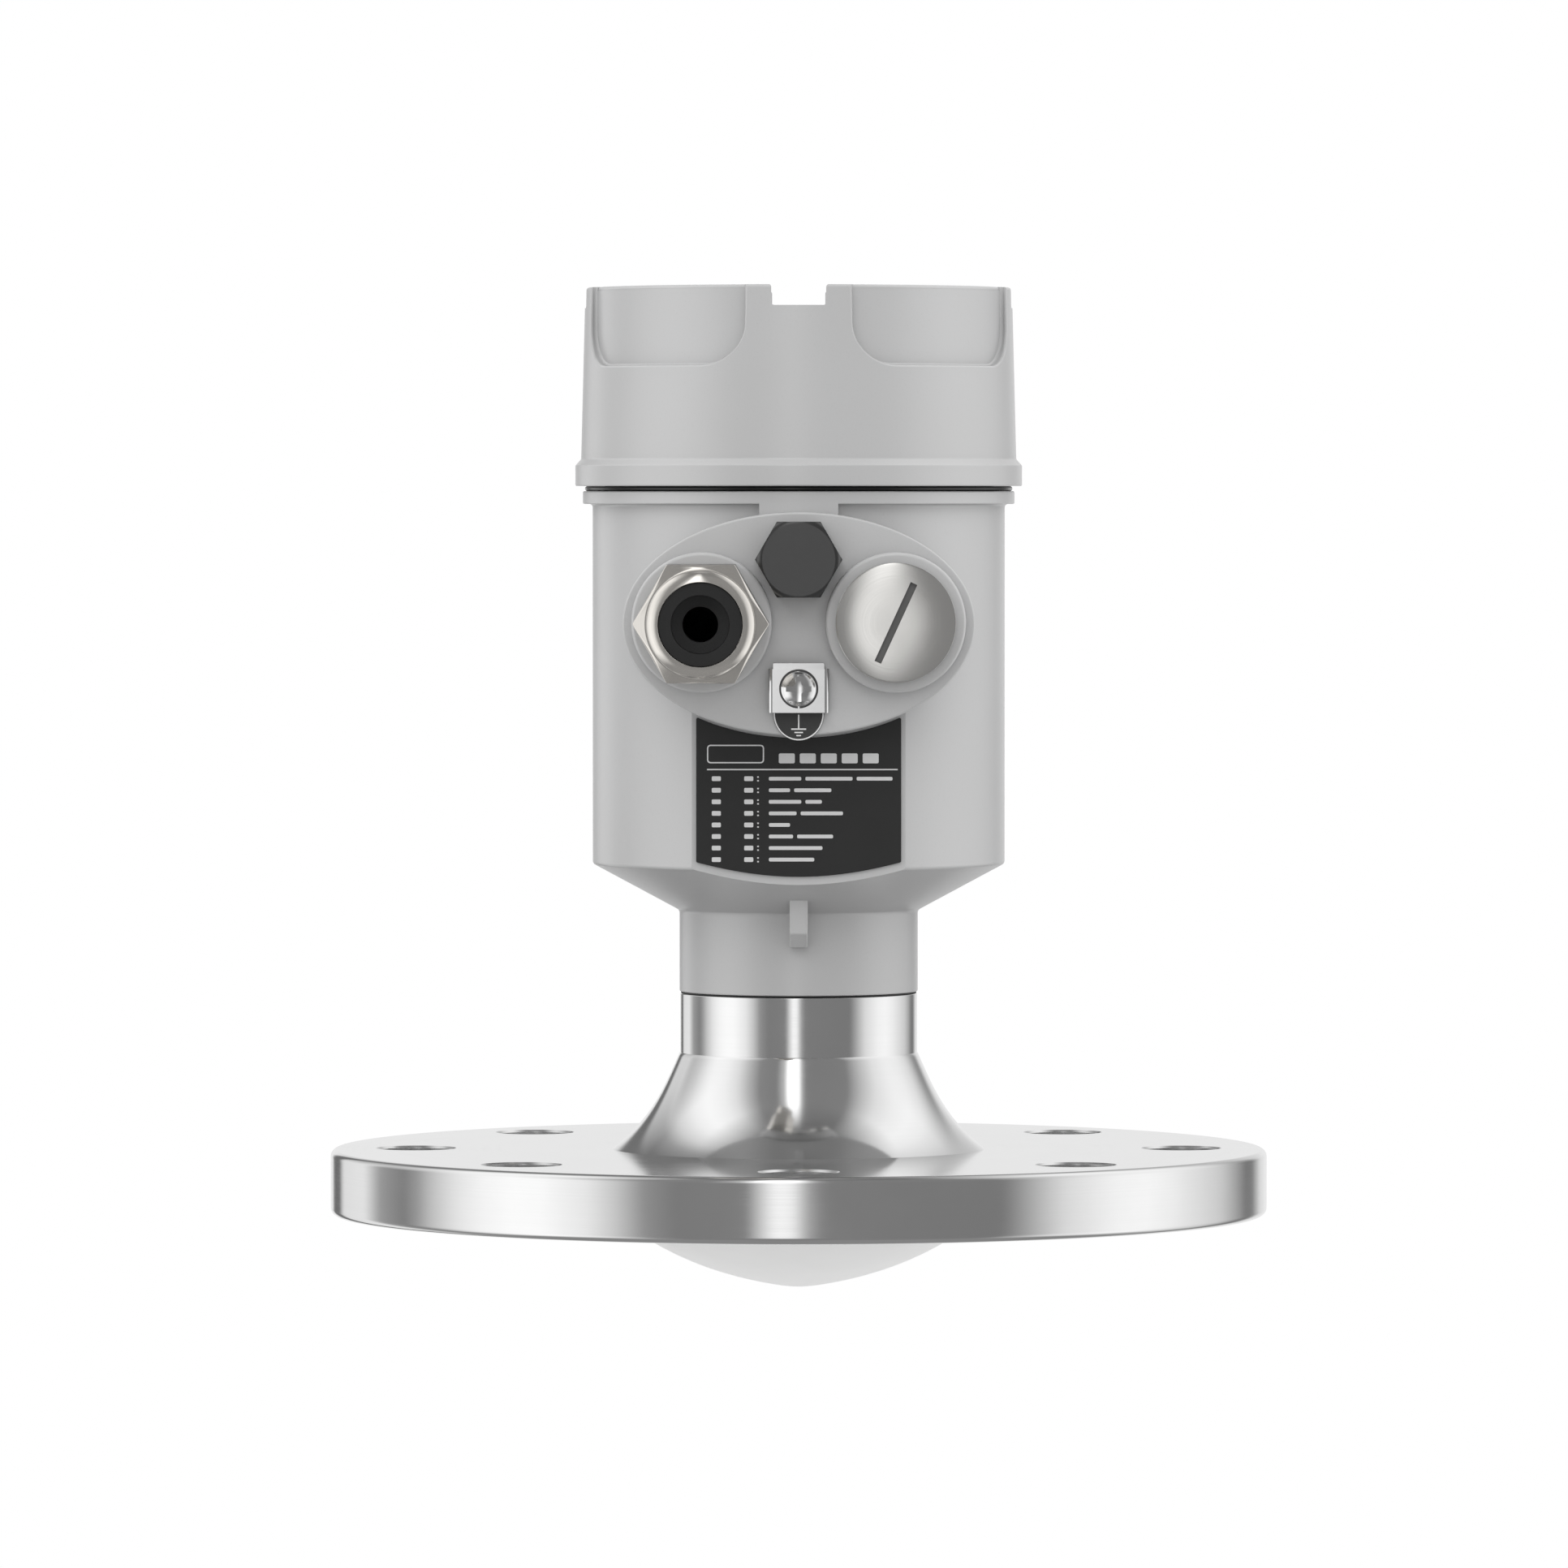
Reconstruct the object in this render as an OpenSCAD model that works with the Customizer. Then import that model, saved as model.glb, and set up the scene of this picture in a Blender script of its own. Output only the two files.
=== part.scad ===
// Radar level transmitter: flange with lens antenna below, swivelling
// instrument housing with two cable entries and a screw lid above.
// Millimetres. The origin is the centre of the flange's sealing face,
// +Z runs up the antenna axis to the lid, and the cable entries face -Y.

/* [Flange] */
// Outer diameter of the flange
flange_d = 220; // [215:0.5:225]
// Thickness of the flange
flange_t = 15.3; // [14:0.1:16]
// Bolt circle diameter
bolt_pcd = 180; // [176:1:184]
// Bolt hole diameter
bolt_d = 18; // [14:0.5:20]
// Number of bolt holes
bolt_n = 8; // [4:4:8]
// Radius of the rounded rim edges
rim_r = 1.6; // [0.5:0.1:2.5]

/* [Antenna] */
// Radius of the lens where it leaves the flange
lens_r = 44; // [42:0.5:44]
// How far the lens tip stands below the flange
lens_drop = 17.3; // [15:0.1:19]
// Radius of the antenna neck's flared foot on the flange
foot_r = 43.9; // [42:0.1:46]
// Radius of the steel neck
neck_r = 27.85; // [27:0.05:28]
// Height at which the flared foot meets the straight neck
flare_z = 37.7; // [37:0.1:39]
// Height of the top of the steel neck
neck_z = 51.9; // [51.5:0.1:52]

/* [Housing] */
// Radius of the housing body
body_r = 48.4; // [48:0.1:49]
// Radius of the housing's lower neck
stem_r = 28; // [27.5:0.1:29]
// Radius of the collar under the lid
collar_r = 50.7; // [50.2:0.1:51.5]
// Height of the collar's top face
collar_z = 169.8; // [169.6:0.1:170]
// Distance of the nameplate pad from the axis
pad_h = 41.6; // [41.2:0.1:42.5]

/* [Cable entries] */
// Distance of the elliptical boss's face from the axis
boss_h = 53; // [52.5:0.1:54]
// Half width of the elliptical boss
boss_a = 40.6; // [40:0.1:41]
// Half height of the elliptical boss
boss_b = 25.7; // [25:0.1:26]
// Height of the elliptical boss's centre
boss_z = 139.3; // [139:0.1:139.6]
// Sideways distance of each cable entry from the middle
entry_x = 22.3; // [22:0.1:22.6]
// Height of the cable entries
entry_z = 139.6; // [139.3:0.1:140]
// Radius of each round entry boss
entry_r = 16.2; // [15.8:0.1:16.5]
// Distance of the entry bosses' faces from the axis
entry_h = 57; // [56.8:0.1:57.2]
// Height of the vent plug
vent_z = 154.1; // [153.8:0.1:154.5]
// Height of the ground screw
ground_z = 124.4; // [124:0.1:125]

/* [Lid] */
// Height of the lid's lower edge
lid_z = 171; // [171:0.1:171.2]
// Height of the top of the lid's ring
lid_top = 217.5; // [216:0.1:219]
// Radius of the lid's rim
rim_lid_r = 52.45; // [52:0.05:53]
// Width of the four slots in the lid's ring
slot_w = 12.7; // [11:0.1:14]
// Depth of the four slots
slot_d = 4.8; // [4:0.1:5.2]

/* [Hidden] */
$fn = 96;
eps = 0.01;

// Colours
steel = "#c9ccce";
paint = "#c4c5c6";
nickel = "#bdb8ae";
zinc = "#dadada";
black = "#262626";
ptfe = "#f2f2f0";
green = "#2f6b45";

// Points on a circle's arc in a profile: centre, radius, from and to angle
function arc(c, r, a0, a1, n = 8) =
    [for (i = [0:n]) let (a = a0 + (a1 - a0) * i / n)
        [c[0] + r * cos(a), c[1] + r * sin(a)]];
function ellipse(a, b, n = 96) =
    [for (i = [0:n - 1]) [a * cos(360 * i / n), b * sin(360 * i / n)]];
// Radius of the flared foot at a height
flare_k = (foot_r - neck_r - 0.2 - 0.44 * (flare_z - flange_t))
    / pow(flare_z - flange_t, 3.5);
function flare(z) = neck_r + 0.2 + 0.44 * (flare_z - z)
    + flare_k * pow(flare_z - z, 3.5);
// Depth of the lens below the flange at a radius
lens_k = (lens_drop - 0.18 * (sqrt(lens_r * lens_r + 16) - 4))
    / pow(lens_r, 2.75);
function lens(r) = lens_drop - 0.18 * (sqrt(r * r + 16) - 4)
    - lens_k * pow(r, 2.75);
// Slope of the housing's funnel between neck and body
funnel_z0 = 71.4;
funnel_z1 = 82.4;
function funnel_z(r) = funnel_z0
    + (r - stem_r) * (funnel_z1 - funnel_z0) / (body_r - stem_r);

// Places children on an axis that leaves the front of the housing
module front(x = 0, z = 0) translate([x, 0, z]) rotate([90, 0, 0]) children();
// A tube along the local axis
module tube(r, ri, z0, z1) translate([0, 0, z0]) difference() {
    cylinder(r = r, h = z1 - z0);
    translate([0, 0, -1]) cylinder(r = ri, h = z1 - z0 + 2);
}
// An O-ring squeezed into its groove
module oring(ri, ro, z0, z1, c = 0.35) rotate_extrude()
    polygon([[ri + c, z0], [ro - c, z0], [ro, z0 + c], [ro, z1 - c],
        [ro - c, z1], [ri + c, z1], [ri, z1 - c], [ri, z0 + c]]);
// A hexagon prism with its corners on the local X axis, and turned corners
module hexagon(af, z0, z1, c0, c1) intersection() {
    translate([0, 0, z0]) cylinder(d = af / cos(30), h = z1 - z0, $fn = 6);
    rotate_extrude() polygon([[0, z0], [af / 2 - 0.2, z0],
        [af / 2 - 0.2 + 2.6, z0 + c0], [af / 2 - 0.2 + 2.6, z1 - c1],
        [af / 2 - 0.2, z1], [0, z1]]);
}

// ---------------------------------------------------------------- process side
module flange() color(steel) difference() {
    rotate_extrude() polygon(concat(
        [[38, 3.5], [lens_r + 0.3, 3.5], [lens_r + 0.3, 0]],
        arc([flange_d / 2 - rim_r, rim_r], rim_r, -90, 0, 5),
        arc([flange_d / 2 - rim_r, flange_t - rim_r], rim_r, 0, 90, 5),
        [[39.6, flange_t], [39.6, flange_t - 3], [38, flange_t - 3]]));
    for (i = [0:bolt_n - 1]) rotate([0, 0, 360 * i / bolt_n])
        translate([bolt_pcd / 2, 0, 0]) {
            translate([0, 0, -1]) cylinder(d = bolt_d, h = flange_t + 2);
            translate([0, 0, flange_t - 0.5])
                cylinder(r1 = bolt_d / 2, r2 = bolt_d / 2 + 1, h = 1);
            translate([0, 0, -0.5])
                cylinder(r1 = bolt_d / 2 + 1, r2 = bolt_d / 2, h = 1);
        }
}

// Turned neck: horn inside, flared foot outside, spigot for the housing on top
module antenna_neck() color(steel) difference() {
    rotate_extrude() polygon(concat(
        [[0, 12.3 + eps], [39.5, 12.3 + eps], [39.5, flange_t]],
        [for (i = [0:14]) let (z = flange_t + (flare_z - flange_t)
            * (1 - pow(1 - i / 14, 1.35))) [flare(z), z]],
        [[neck_r, flare_z + 0.2], [neck_r, neck_z - 0.25],
            [neck_r - 0.25, neck_z], [22, neck_z],
            [22, 60], [20.2, 60], [20.2, 62.6], [22, 62.6],
            [22, 71.9], [20.8, 71.9], [20.8, 73.3], [22, 73.3],
            [22, 75.4], [21.4, 76], [0, 76]]));
    // horn
    rotate_extrude() polygon([[0, 12], [37, 12], [37, 15.3], [4, 44],
        [4, 44.5], [0, 44.5]]);
    // feed seat, then the electronics bay
    translate([0, 0, 44]) cylinder(r = 8.1, h = 10);
    translate([0, 0, 50]) cylinder(r = 18.5, h = 30);
}

module lens_antenna() color(ptfe) difference() {
    rotate_extrude() polygon(concat(
        [for (i = [0:18]) let (r = lens_r * pow(i / 18, 1.15))
            [r, -lens(r)]],
        [[lens_r, 3.4], [37.7, 3.4], [37.7, 6.8], [35.4, 6.8], [35.4, 9.4],
            [37.7, 9.4], [37.7, 11.4], [36.6, 12.2], [36.6, 13.8]],
        [for (i = [0:10]) let (a = i * 9) [34 * cos(a), 14.6 + 10 * sin(a)]]));
    // two pin holes for a spanner in its inner face
    for (s = [-1, 1]) translate([s * 12, 0, 20]) cylinder(r = 2, h = 12);
}

module lens_oring() color(black) oring(35.5, 37.95, 6.95, 9.25, 0.5);

module waveguide_feed() color("#c8a24a") rotate_extrude()
    polygon([[3.4, 44.1], [8, 44.1], [8, 49.9], [1.1, 49.9], [1.1, 46.6]]);

module radar_board() color(green) difference() {
    translate([0, 0, 50.05]) cylinder(r = 18.2, h = 1.6);
    for (a = [45:90:315]) rotate([0, 0, a]) translate([15.6, 0, 49])
        cylinder(r = 1.2, h = 4);
}

// Chips and the lead's socket on the radar board
module radar_chips() color(black) {
    for (p = [[13.8, 0, 3], [-13.8, 0, 3], [0, 14, 4], [0, -14, 4]])
        translate([p[0] - p[2] / 2, p[1] - p[2] / 2, 51.66])
            cube([p[2], p[2], 1.4]);
    translate([0, 0, 51.66]) cylinder(r = 3.6, h = 5.6);
}

module shield_can() color(zinc) difference() {
    translate([0, 0, 51.66]) cylinder(r = 10.6, h = 6.4);
    translate([0, 0, 51]) cylinder(r = 10.2, h = 6.66);
    translate([0, 0, 51]) cylinder(r = 3, h = 9);
}

module bay_cap() color(black) difference() {
    union() {
        translate([0, 0, 72]) cylinder(r = 18.35, h = 4);
        translate([0, 0, 75]) cylinder(r = 6, h = 3.4);
    }
    translate([0, 0, 70]) cylinder(r = 2.7, h = 10);
    translate([0, 0, 71]) difference() {
        cylinder(r = 16.4, h = 3);
        cylinder(r = 5, h = 3);
    }
}

// Round lead on the swivel axis, from the radar board up to the main board
module antenna_lead() color("#3a3a3a") {
    translate([0, 0, 57.3]) cylinder(r = 2.4, h = 43);
}

module neck_seal() color(black)
    tube(27.65, 22.1, neck_z + 0.02, 52.28);

module swivel_oring() color(black) oring(20.25, 22, 60.15, 62.45, 0.4);

module retaining_ring() color("#8e9092") difference() {
    tube(24.4, 20.9, 72, 73.2);
    translate([-2, -26, 71]) cube([4, 8, 4]);
    for (a = [-8, 8]) rotate([0, 0, a]) translate([0, -22.9, 71])
        cylinder(r = 0.6, h = 4);
}

// ---------------------------------------------------------------- housing side
cup_posts = [90, 210, 330];
screw_gap = 2.15;
post_r = 31;
lug_h = 34.6;

module housing_shape() {
    difference() {
        rotate_extrude() polygon([[0, 52.3], [stem_r - 0.35, 52.3],
            [stem_r, 52.65], [stem_r, funnel_z0], [body_r, funnel_z1],
            [body_r, 166], [body_r + 0.8, 166.8], [collar_r - 0.3, 166.8],
            [collar_r, 167.1], [collar_r, collar_z - 0.4],
            [collar_r - 0.4, collar_z], [46.5, collar_z], [46.5, 185],
            [45.8, 185.7], [0, 185.7]]);
        translate([-40, -60, 70]) cube([80, 60 - pad_h, boss_z - 70]);
    }
    // elliptical boss, and the tab that joins it to the collar
    front(0, boss_z) translate([0, 0, 20]) linear_extrude(boss_h - 20)
        polygon(ellipse(boss_a, boss_b));
    intersection() {
        translate([0, 0, 158]) cylinder(r = collar_r, h = 9.5);
        translate([-9.1, -60, 158]) cube([18.2, 50, 9.5]);
    }
    // round entry bosses
    for (s = [-1, 1]) front(s * entry_x, entry_z) translate([0, 0, 30])
        cylinder(r = entry_r, h = entry_h - 30);
    // lug on the lower neck
    difference() {
        translate([-2.1, -lug_h, 63.7]) cube([4.2, lug_h - 24, 11.5]);
        translate([-3, -lug_h - 1, 62.7]) rotate([45, 0, 0])
            translate([0, -3, -2.6]) cube([6, 6, 4]);
    }
}

module housing() color(paint) difference() {
    union() {
        difference() {
            housing_shape();
            // chamber
            rotate_extrude() polygon([[0, 50], [22.05, 50], [22.05, 71.5],
                [26, 71.5], [26, 77.5], [35, 84], [35, 121], [38.2, 121],
                [38.2, 150], [41.5, 153], [41.5, 190], [0, 190]]);
            // way from the cable entries into the chamber
            translate([-31, -47, 131]) cube([62, 30, 16]);
        }
        // posts for the electronics cup
        for (a = cup_posts) rotate([0, 0, a]) translate([post_r, 0, 77])
            cylinder(r = 4.5, h = 44);
    }
    for (a = cup_posts) rotate([0, 0, a]) translate([post_r, 0, 108])
        cylinder(r = a == 90 ? 2 : 1.5, h = 14);
    // cable entries
    for (s = [-1, 1]) front(s * entry_x, entry_z) translate([0, 0, 40])
        cylinder(r = 10, h = 20);
    // vent plug's seat
    front(0, vent_z) {
        translate([0, 0, 44.5]) cylinder(r = 6, h = 10);
        translate([0, 0, 34]) cylinder(r = 3, h = 12);
    }
    // ground screw's blind hole
    front(0, ground_z) translate([0, 0, 43.5]) cylinder(r = 2, h = 10);
    // swivel lock screw, at the back of the neck
    translate([0, 20, 66]) rotate([-90, 0, 0]) cylinder(r = 2.5, h = 10);
}

module swivel_lock_screw() color("#555555")
    translate([0, 22.5, 66]) rotate([-90, 0, 0]) difference() {
        cylinder(r = 2.42, h = 5);
        translate([0, 0, 2.6]) cylinder(r = 1.45, h = 3, $fn = 6);
    }

// Plate on the flat pad: its top follows the boss, its foot the pad's edge
np_w = 23.7;
np_top = [for (i = [0:16]) let (x = np_w - np_w * i / 8)
    [x, boss_z - boss_b * sqrt(1 - pow(x / boss_a, 2)) - 0.85]];
np_foot = [for (i = [0:16]) let (x = -np_w + np_w * i / 8)
    [x, funnel_z(sqrt(pad_h * pad_h + x * x)) + 1.9]];
module nameplate() color("#2c2c2c") front() translate([0, 0, pad_h + 0.02])
    linear_extrude(0.7) polygon(concat(np_top, np_foot));

// Earth-symbol tag held under the ground clamp
module ground_tag() color("#444444") front(0, 0)
    translate([0, 0, boss_h + 0.02]) linear_extrude(0.5) difference() {
        polygon(concat([[5.85, 129], [-5.85, 129], [-5.85, 118.6]],
            [for (i = [1:11]) let (a = 180 + 15 * i)
                [5.85 * cos(a), 118.6 + 6.2 * sin(a)]],
            [[5.85, 118.6]]));
        translate([0, ground_z]) circle(r = 2.3);
    }

// ---------------------------------------------------------------- cable gland
gland_af = 27;
module gland_body() color(nickel) front(-entry_x, entry_z) difference() {
    union() {
        translate([0, 0, 45.5]) cylinder(r = 9.92, h = 14);
        hexagon(gland_af, 58, 66.5, 0.9, 0.9);
        translate([0, 0, 60]) cylinder(r = 11.7, h = 20.4);
    }
    translate([0, 0, 40]) cylinder(r = 6.6, h = 45);
    translate([0, 0, 67.5]) cylinder(r = 10.5, h = 20);
}
module gland_oring() color(black) front(-entry_x, entry_z)
    oring(10.05, 12.7, 57.02, 57.98, 0.3);
module gland_claw() color("#d8d4c8") front(-entry_x, entry_z) difference() {
    rotate_extrude() polygon([[9.7, 67.6], [10.4, 67.6], [10.4, 80.5],
        [11.3, 81.2], [11.3, 82.6], [10.5, 87.6], [9.7, 87.6]]);
    for (i = [0:5]) rotate([0, 0, 30 * i])
        translate([-14, -0.5, 76]) cube([28, 1, 13]);
}
module gland_seal() color(black) front(-entry_x, entry_z) rotate_extrude()
    polygon([[4, 68], [9, 68], [9.5, 68.5], [9.5, 94.9], [9.1, 95.3],
        [6.9, 95.3], [6.9, 92.4], [4, 91.6]]);
module gland_nut() color(nickel) front(-entry_x, entry_z) difference() {
    union() {
        hexagon(gland_af, 67, 85.4, 0.9, 1.1);
        translate([0, 0, 84]) cylinder(r = 12.4, h = 4);
        rotate_extrude() polygon(concat([[0, 86.2], [12.9, 86.2]],
            arc([9.6, 92.7], 3.3, 0, 90, 8), [[0, 96]]));
    }
    rotate_extrude() polygon([[0, 60], [12, 60], [12, 84], [9.8, 91.6],
        [9.8, 95.2], [10.6, 96.2], [0, 96.2]]);
}

// ---------------------------------------------------------------- blind plug
module blind_plug_oring() color(black) front(entry_x, entry_z)
    oring(10.05, 12.6, 57.02, 57.98, 0.3);
module blind_plug() color(nickel) front(entry_x, entry_z) difference() {
    union() {
        translate([0, 0, 47.5]) cylinder(r = 9.85, h = 11);
        rotate_extrude() polygon(concat([[0, 58], [13.6, 58], [13.8, 58.2],
            [13.8, 60]], [for (i = [0:9]) let (r = 13.6 * cos(10 * i))
                [r, 60.4 + 2 * (1 - pow(r / 13.6, 2.4))]]));
    }
    rotate([0, 0, -23.5]) translate([-0.85, -10.3, 60.6]) cube([1.7, 20.6, 5]);
    translate([0, 0, 40]) cylinder(r = 7, h = 15);
}

// ---------------------------------------------------------------- vent plug
module vent_oring() color(black) front(0, vent_z)
    oring(6.1, 8, 53.02, 53.78, 0.25);
module vent_plug() color("#3c3c3c") front(0, vent_z) difference() {
    union() {
        translate([0, 0, 46]) cylinder(r = 5.85, h = 9);
        hexagon(17.4, 53.8, 61, 0.3, 1.3);
    }
    translate([0, 0, 40]) cylinder(r = 3.2, h = 17);
    translate([0, 0, 55.6]) cube([24, 1.4, 1.2], center = true);
}
module vent_membrane() color("#e8e8e8") front(0, vent_z)
    translate([0, 0, 56.5]) cylinder(r = 3.15, h = 0.45);

// ---------------------------------------------------------------- ground terminal
// Saddle clamp: a plate with both side edges folded back to the boss
module ground_clamp() color(zinc) front(0, ground_z) difference() {
    union() {
        translate([-6, -5.6, 55.6]) cube([12, 11.5, 1]);
        for (s = [-1, 1]) scale([s, 1, 1]) {
            translate([5.9, -5.6, 55.6]) intersection() {
                rotate([-90, 0, 0]) cylinder(r = 1.1, h = 10.2);
                cube([1.1, 10.2, 1]);
            }
            translate([6.05, -5.6, 53.7]) cube([0.95, 10.2, 2]);
        }
    }
    translate([0, 0, 50]) cylinder(r = 2.2, h = 10);
}
module ground_lock_washer() color("#777777") front(0, ground_z) difference() {
    tube(4.5, 2.15, 56.62, 57.5);
    rotate([0, 0, 70]) translate([2, -0.35, 56]) cube([4, 0.7, 2]);
}
module ground_screw() color(zinc) front(0, ground_z) difference() {
    union() {
        translate([0, 0, 46.2]) cylinder(r = 1.9, h = 12);
        rotate_extrude() polygon(concat([[0, 57.52], [4.05, 57.52],
            [4.05, 58.3]], [for (i = [0:6]) let (a = 15 * i)
                [3.95 * cos(a), 58.5 + 1.5 * sin(a)]]));
    }
    for (a = [0, 90]) rotate([0, 0, a])
        translate([-3.05, -0.75, 58.4]) cube([6.1, 1.5, 3]);
    translate([0, 0, 57.8]) cylinder(r1 = 0.6, r2 = 1.5, h = 2.5);
}

// ---------------------------------------------------------------- electronics
module posts(r, z0, h) for (a = cup_posts) rotate([0, 0, a])
    translate([post_r, 0, z0]) cylinder(r = r, h = h);

module electronics_cup() color(black) difference() {
    union() {
        difference() {
            translate([0, 0, 84.5]) cylinder(r = 34.6, h = 38);
            posts(4.9, 80, 41);
        }
        translate([0, 0, 121.02]) cylinder(r = 37.8, h = 2.5);
    }
    difference() {
        union() {
            translate([0, 0, 86.5]) cylinder(r = 30.4, h = 40);
            translate([0, 0, 107]) cylinder(r = 32.2, h = 20);
        }
        posts(6.9, 80, 50);
    }
    posts(screw_gap, 118, 8);
    translate([0, 0, 80]) cylinder(r = 2.7, h = 10);
}
module main_board() color(green) difference() {
    translate([0, 0, 107.02]) cylinder(r = 31.9, h = 1.6);
    posts(7.3, 100, 12);
    for (x = [-7.5, -2.5, 2.5, 7.5]) translate([x, 3, 100])
        cylinder(r = 0.95, h = 12);
}
// Chips, capacitors, coil and the socket for the antenna lead
module board_parts() color("#333333") {
    for (p = [[-18, 2, 9, 9, 1.6], [14, 12, 7, 7, 1.6], [-6, -14, 12, 5, 2],
        [10, -20, 8, 4, 3], [-10, 16, 6, 10, 4.5]])
        translate([p[0] - p[2] / 2, p[1] - p[3] / 2, 108.64])
            cube([p[2], p[3], p[4]]);
    for (p = [[18, -6, 3.2, 9], [18, 2, 2.6, 7], [-20, -8, 3.2, 9]])
        translate([p[0], p[1], 108.64]) cylinder(r = p[2], h = p[3]);
    translate([0, 0, 100.4]) cylinder(r = 2.9, h = 6.6);
}
module terminal_carrier() color("#3b3f42") difference() {
    translate([0, 0, 123.54]) cylinder(r = 36, h = 2.4);
    posts(screw_gap, 120, 10);
    for (x = [-7.5, -2.5, 2.5, 7.5]) translate([x, 3, 120])
        cylinder(r = 0.95, h = 12);
}
module terminal_block() color("#4f8f4f") difference() {
    translate([-11, -3, 125.96]) cube([22, 12, 11]);
    for (x = [-7.5, -2.5, 2.5, 7.5]) {
        translate([x, 4.5, 130.5]) rotate([90, 0, 0]) cylinder(r = 1.5, h = 10);
        translate([x, -1.6, 130.5]) rotate([90, 0, 0])
            cylinder(r1 = 1.5, r2 = 2.2, h = 1.5);
        translate([x - 1.2, 5, 132]) cube([2.4, 2.4, 6]);
        translate([x, 3, 120]) cylinder(r = 0.95, h = 7.5);
    }
}
module terminal_pins() color("#c8a24a") for (x = [-7.5, -2.5, 2.5, 7.5])
    translate([x, 3, 105.6]) cylinder(r = 0.85, h = 21.6);
module cup_screws() color(zinc) for (a = [210, 330]) rotate([0, 0, a])
    translate([post_r, 0, 0]) difference() {
        union() {
            translate([0, 0, 112]) cylinder(r = 1.42, h = 15);
            translate([0, 0, 125.96]) cylinder(r = 2.8, h = 2);
        }
        translate([-0.4, -3, 127.2]) cube([0.8, 6, 2]);
    }
module inner_ground_clamp() color(zinc) difference() {
    translate([-4.5, post_r - 4.5, 125.96]) cube([9, 9, 1]);
    posts(2.15, 120, 10);
}
module inner_ground_screw() color(zinc) translate([0, post_r, 0]) difference() {
    union() {
        translate([0, 0, 111]) cylinder(r = 1.92, h = 17);
        translate([0, 0, 126.98]) cylinder(r = 3.9, h = 2.6);
    }
    for (a = [45, 135]) rotate([0, 0, a]) translate([-2.2, -0.5, 128.2])
        cube([4.4, 1, 3]);
}

// ---------------------------------------------------------------- lid
module lid_oring() color(black)
    oring(46.95, 50.2, collar_z + 0.02, lid_z - 0.02, 0.4);

// Grip recess: a rounded window, cut straight back towards the axis
pocket_w = 25.3;
pocket_z = 199;
module pocket() rotate([90, 0, 0]) linear_extrude(60) union() {
    translate([-pocket_w, pocket_z + 9.5]) square([2 * pocket_w, 30]);
    translate([-pocket_w + 9.5, pocket_z]) square([2 * pocket_w - 19, 12]);
    for (s = [-1, 1]) translate([s * (pocket_w - 9.5), pocket_z + 9.5])
        circle(r = 9.5);
}
module lid() color(paint) difference() {
    rotate_extrude() polygon([[0, 206], [40, 206], [43.4, 203], [43.4, 188],
        [46.85, 187], [46.85, lid_z + 0.4], [47.2, lid_z],
        [rim_lid_r - 0.3, lid_z], [rim_lid_r, lid_z + 0.3],
        [rim_lid_r, 175.8], [51.1, 177.3], [50.2, 212.7],
        [50.1, lid_top - 0.7], [49.4, lid_top], [43.2, lid_top],
        [42.4, lid_top - 0.8], [41.6, 212.2], [0, 212.2]]);
    for (a = [45:90:315]) rotate([0, 0, a]) intersection() {
        tube(60, 48.55, 195, 225);
        pocket();
    }
    for (a = [0, 90]) rotate([0, 0, a])
        translate([-70, -slot_w / 2, lid_top - slot_d])
            cube([140, slot_w, 10]);
}

flange();
antenna_neck();
lens_antenna();
lens_oring();
waveguide_feed();
radar_board();
radar_chips();
shield_can();
bay_cap();
antenna_lead();
neck_seal();
swivel_oring();
retaining_ring();
housing();
swivel_lock_screw();
nameplate();
ground_tag();
gland_body();
gland_oring();
gland_claw();
electronics_cup();
main_board();
board_parts();
terminal_carrier();
terminal_block();
terminal_pins();
cup_screws();
inner_ground_clamp();
inner_ground_screw();
lid_oring();
lid();
gland_seal();
gland_nut();
blind_plug_oring();
blind_plug();
vent_oring();
vent_plug();
vent_membrane();
ground_clamp();
ground_lock_washer();
ground_screw();
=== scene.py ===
import math
import bpy
import numpy as np
from mathutils import Matrix, Vector
from mathutils.bvhtree import BVHTree
from mathutils.geometry import tessellate_polygon


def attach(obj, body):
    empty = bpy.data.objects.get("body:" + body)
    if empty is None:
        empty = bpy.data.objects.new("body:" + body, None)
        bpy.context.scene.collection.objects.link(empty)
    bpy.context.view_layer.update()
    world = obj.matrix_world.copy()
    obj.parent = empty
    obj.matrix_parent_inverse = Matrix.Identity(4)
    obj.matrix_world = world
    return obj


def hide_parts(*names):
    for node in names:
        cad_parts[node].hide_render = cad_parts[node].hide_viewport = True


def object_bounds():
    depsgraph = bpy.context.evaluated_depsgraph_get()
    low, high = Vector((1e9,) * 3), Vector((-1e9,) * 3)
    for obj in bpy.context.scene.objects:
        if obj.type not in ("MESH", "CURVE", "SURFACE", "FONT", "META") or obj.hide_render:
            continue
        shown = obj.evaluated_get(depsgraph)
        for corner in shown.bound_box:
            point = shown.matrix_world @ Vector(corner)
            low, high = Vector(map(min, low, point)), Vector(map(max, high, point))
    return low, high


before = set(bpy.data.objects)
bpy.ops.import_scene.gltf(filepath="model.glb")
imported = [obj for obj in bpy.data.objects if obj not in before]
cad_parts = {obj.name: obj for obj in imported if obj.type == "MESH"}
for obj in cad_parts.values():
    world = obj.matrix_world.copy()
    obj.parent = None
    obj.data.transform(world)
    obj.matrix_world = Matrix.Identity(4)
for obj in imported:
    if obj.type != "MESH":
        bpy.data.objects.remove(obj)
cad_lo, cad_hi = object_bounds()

# Everything is built in millimetres in the part's own frame, then scaled by MM.
MM = 0.001


# --------------------------------------------------------------------- shells
def unit(v):
    return v / max(math.hypot(v[0], v[1]), 1e-12)


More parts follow.
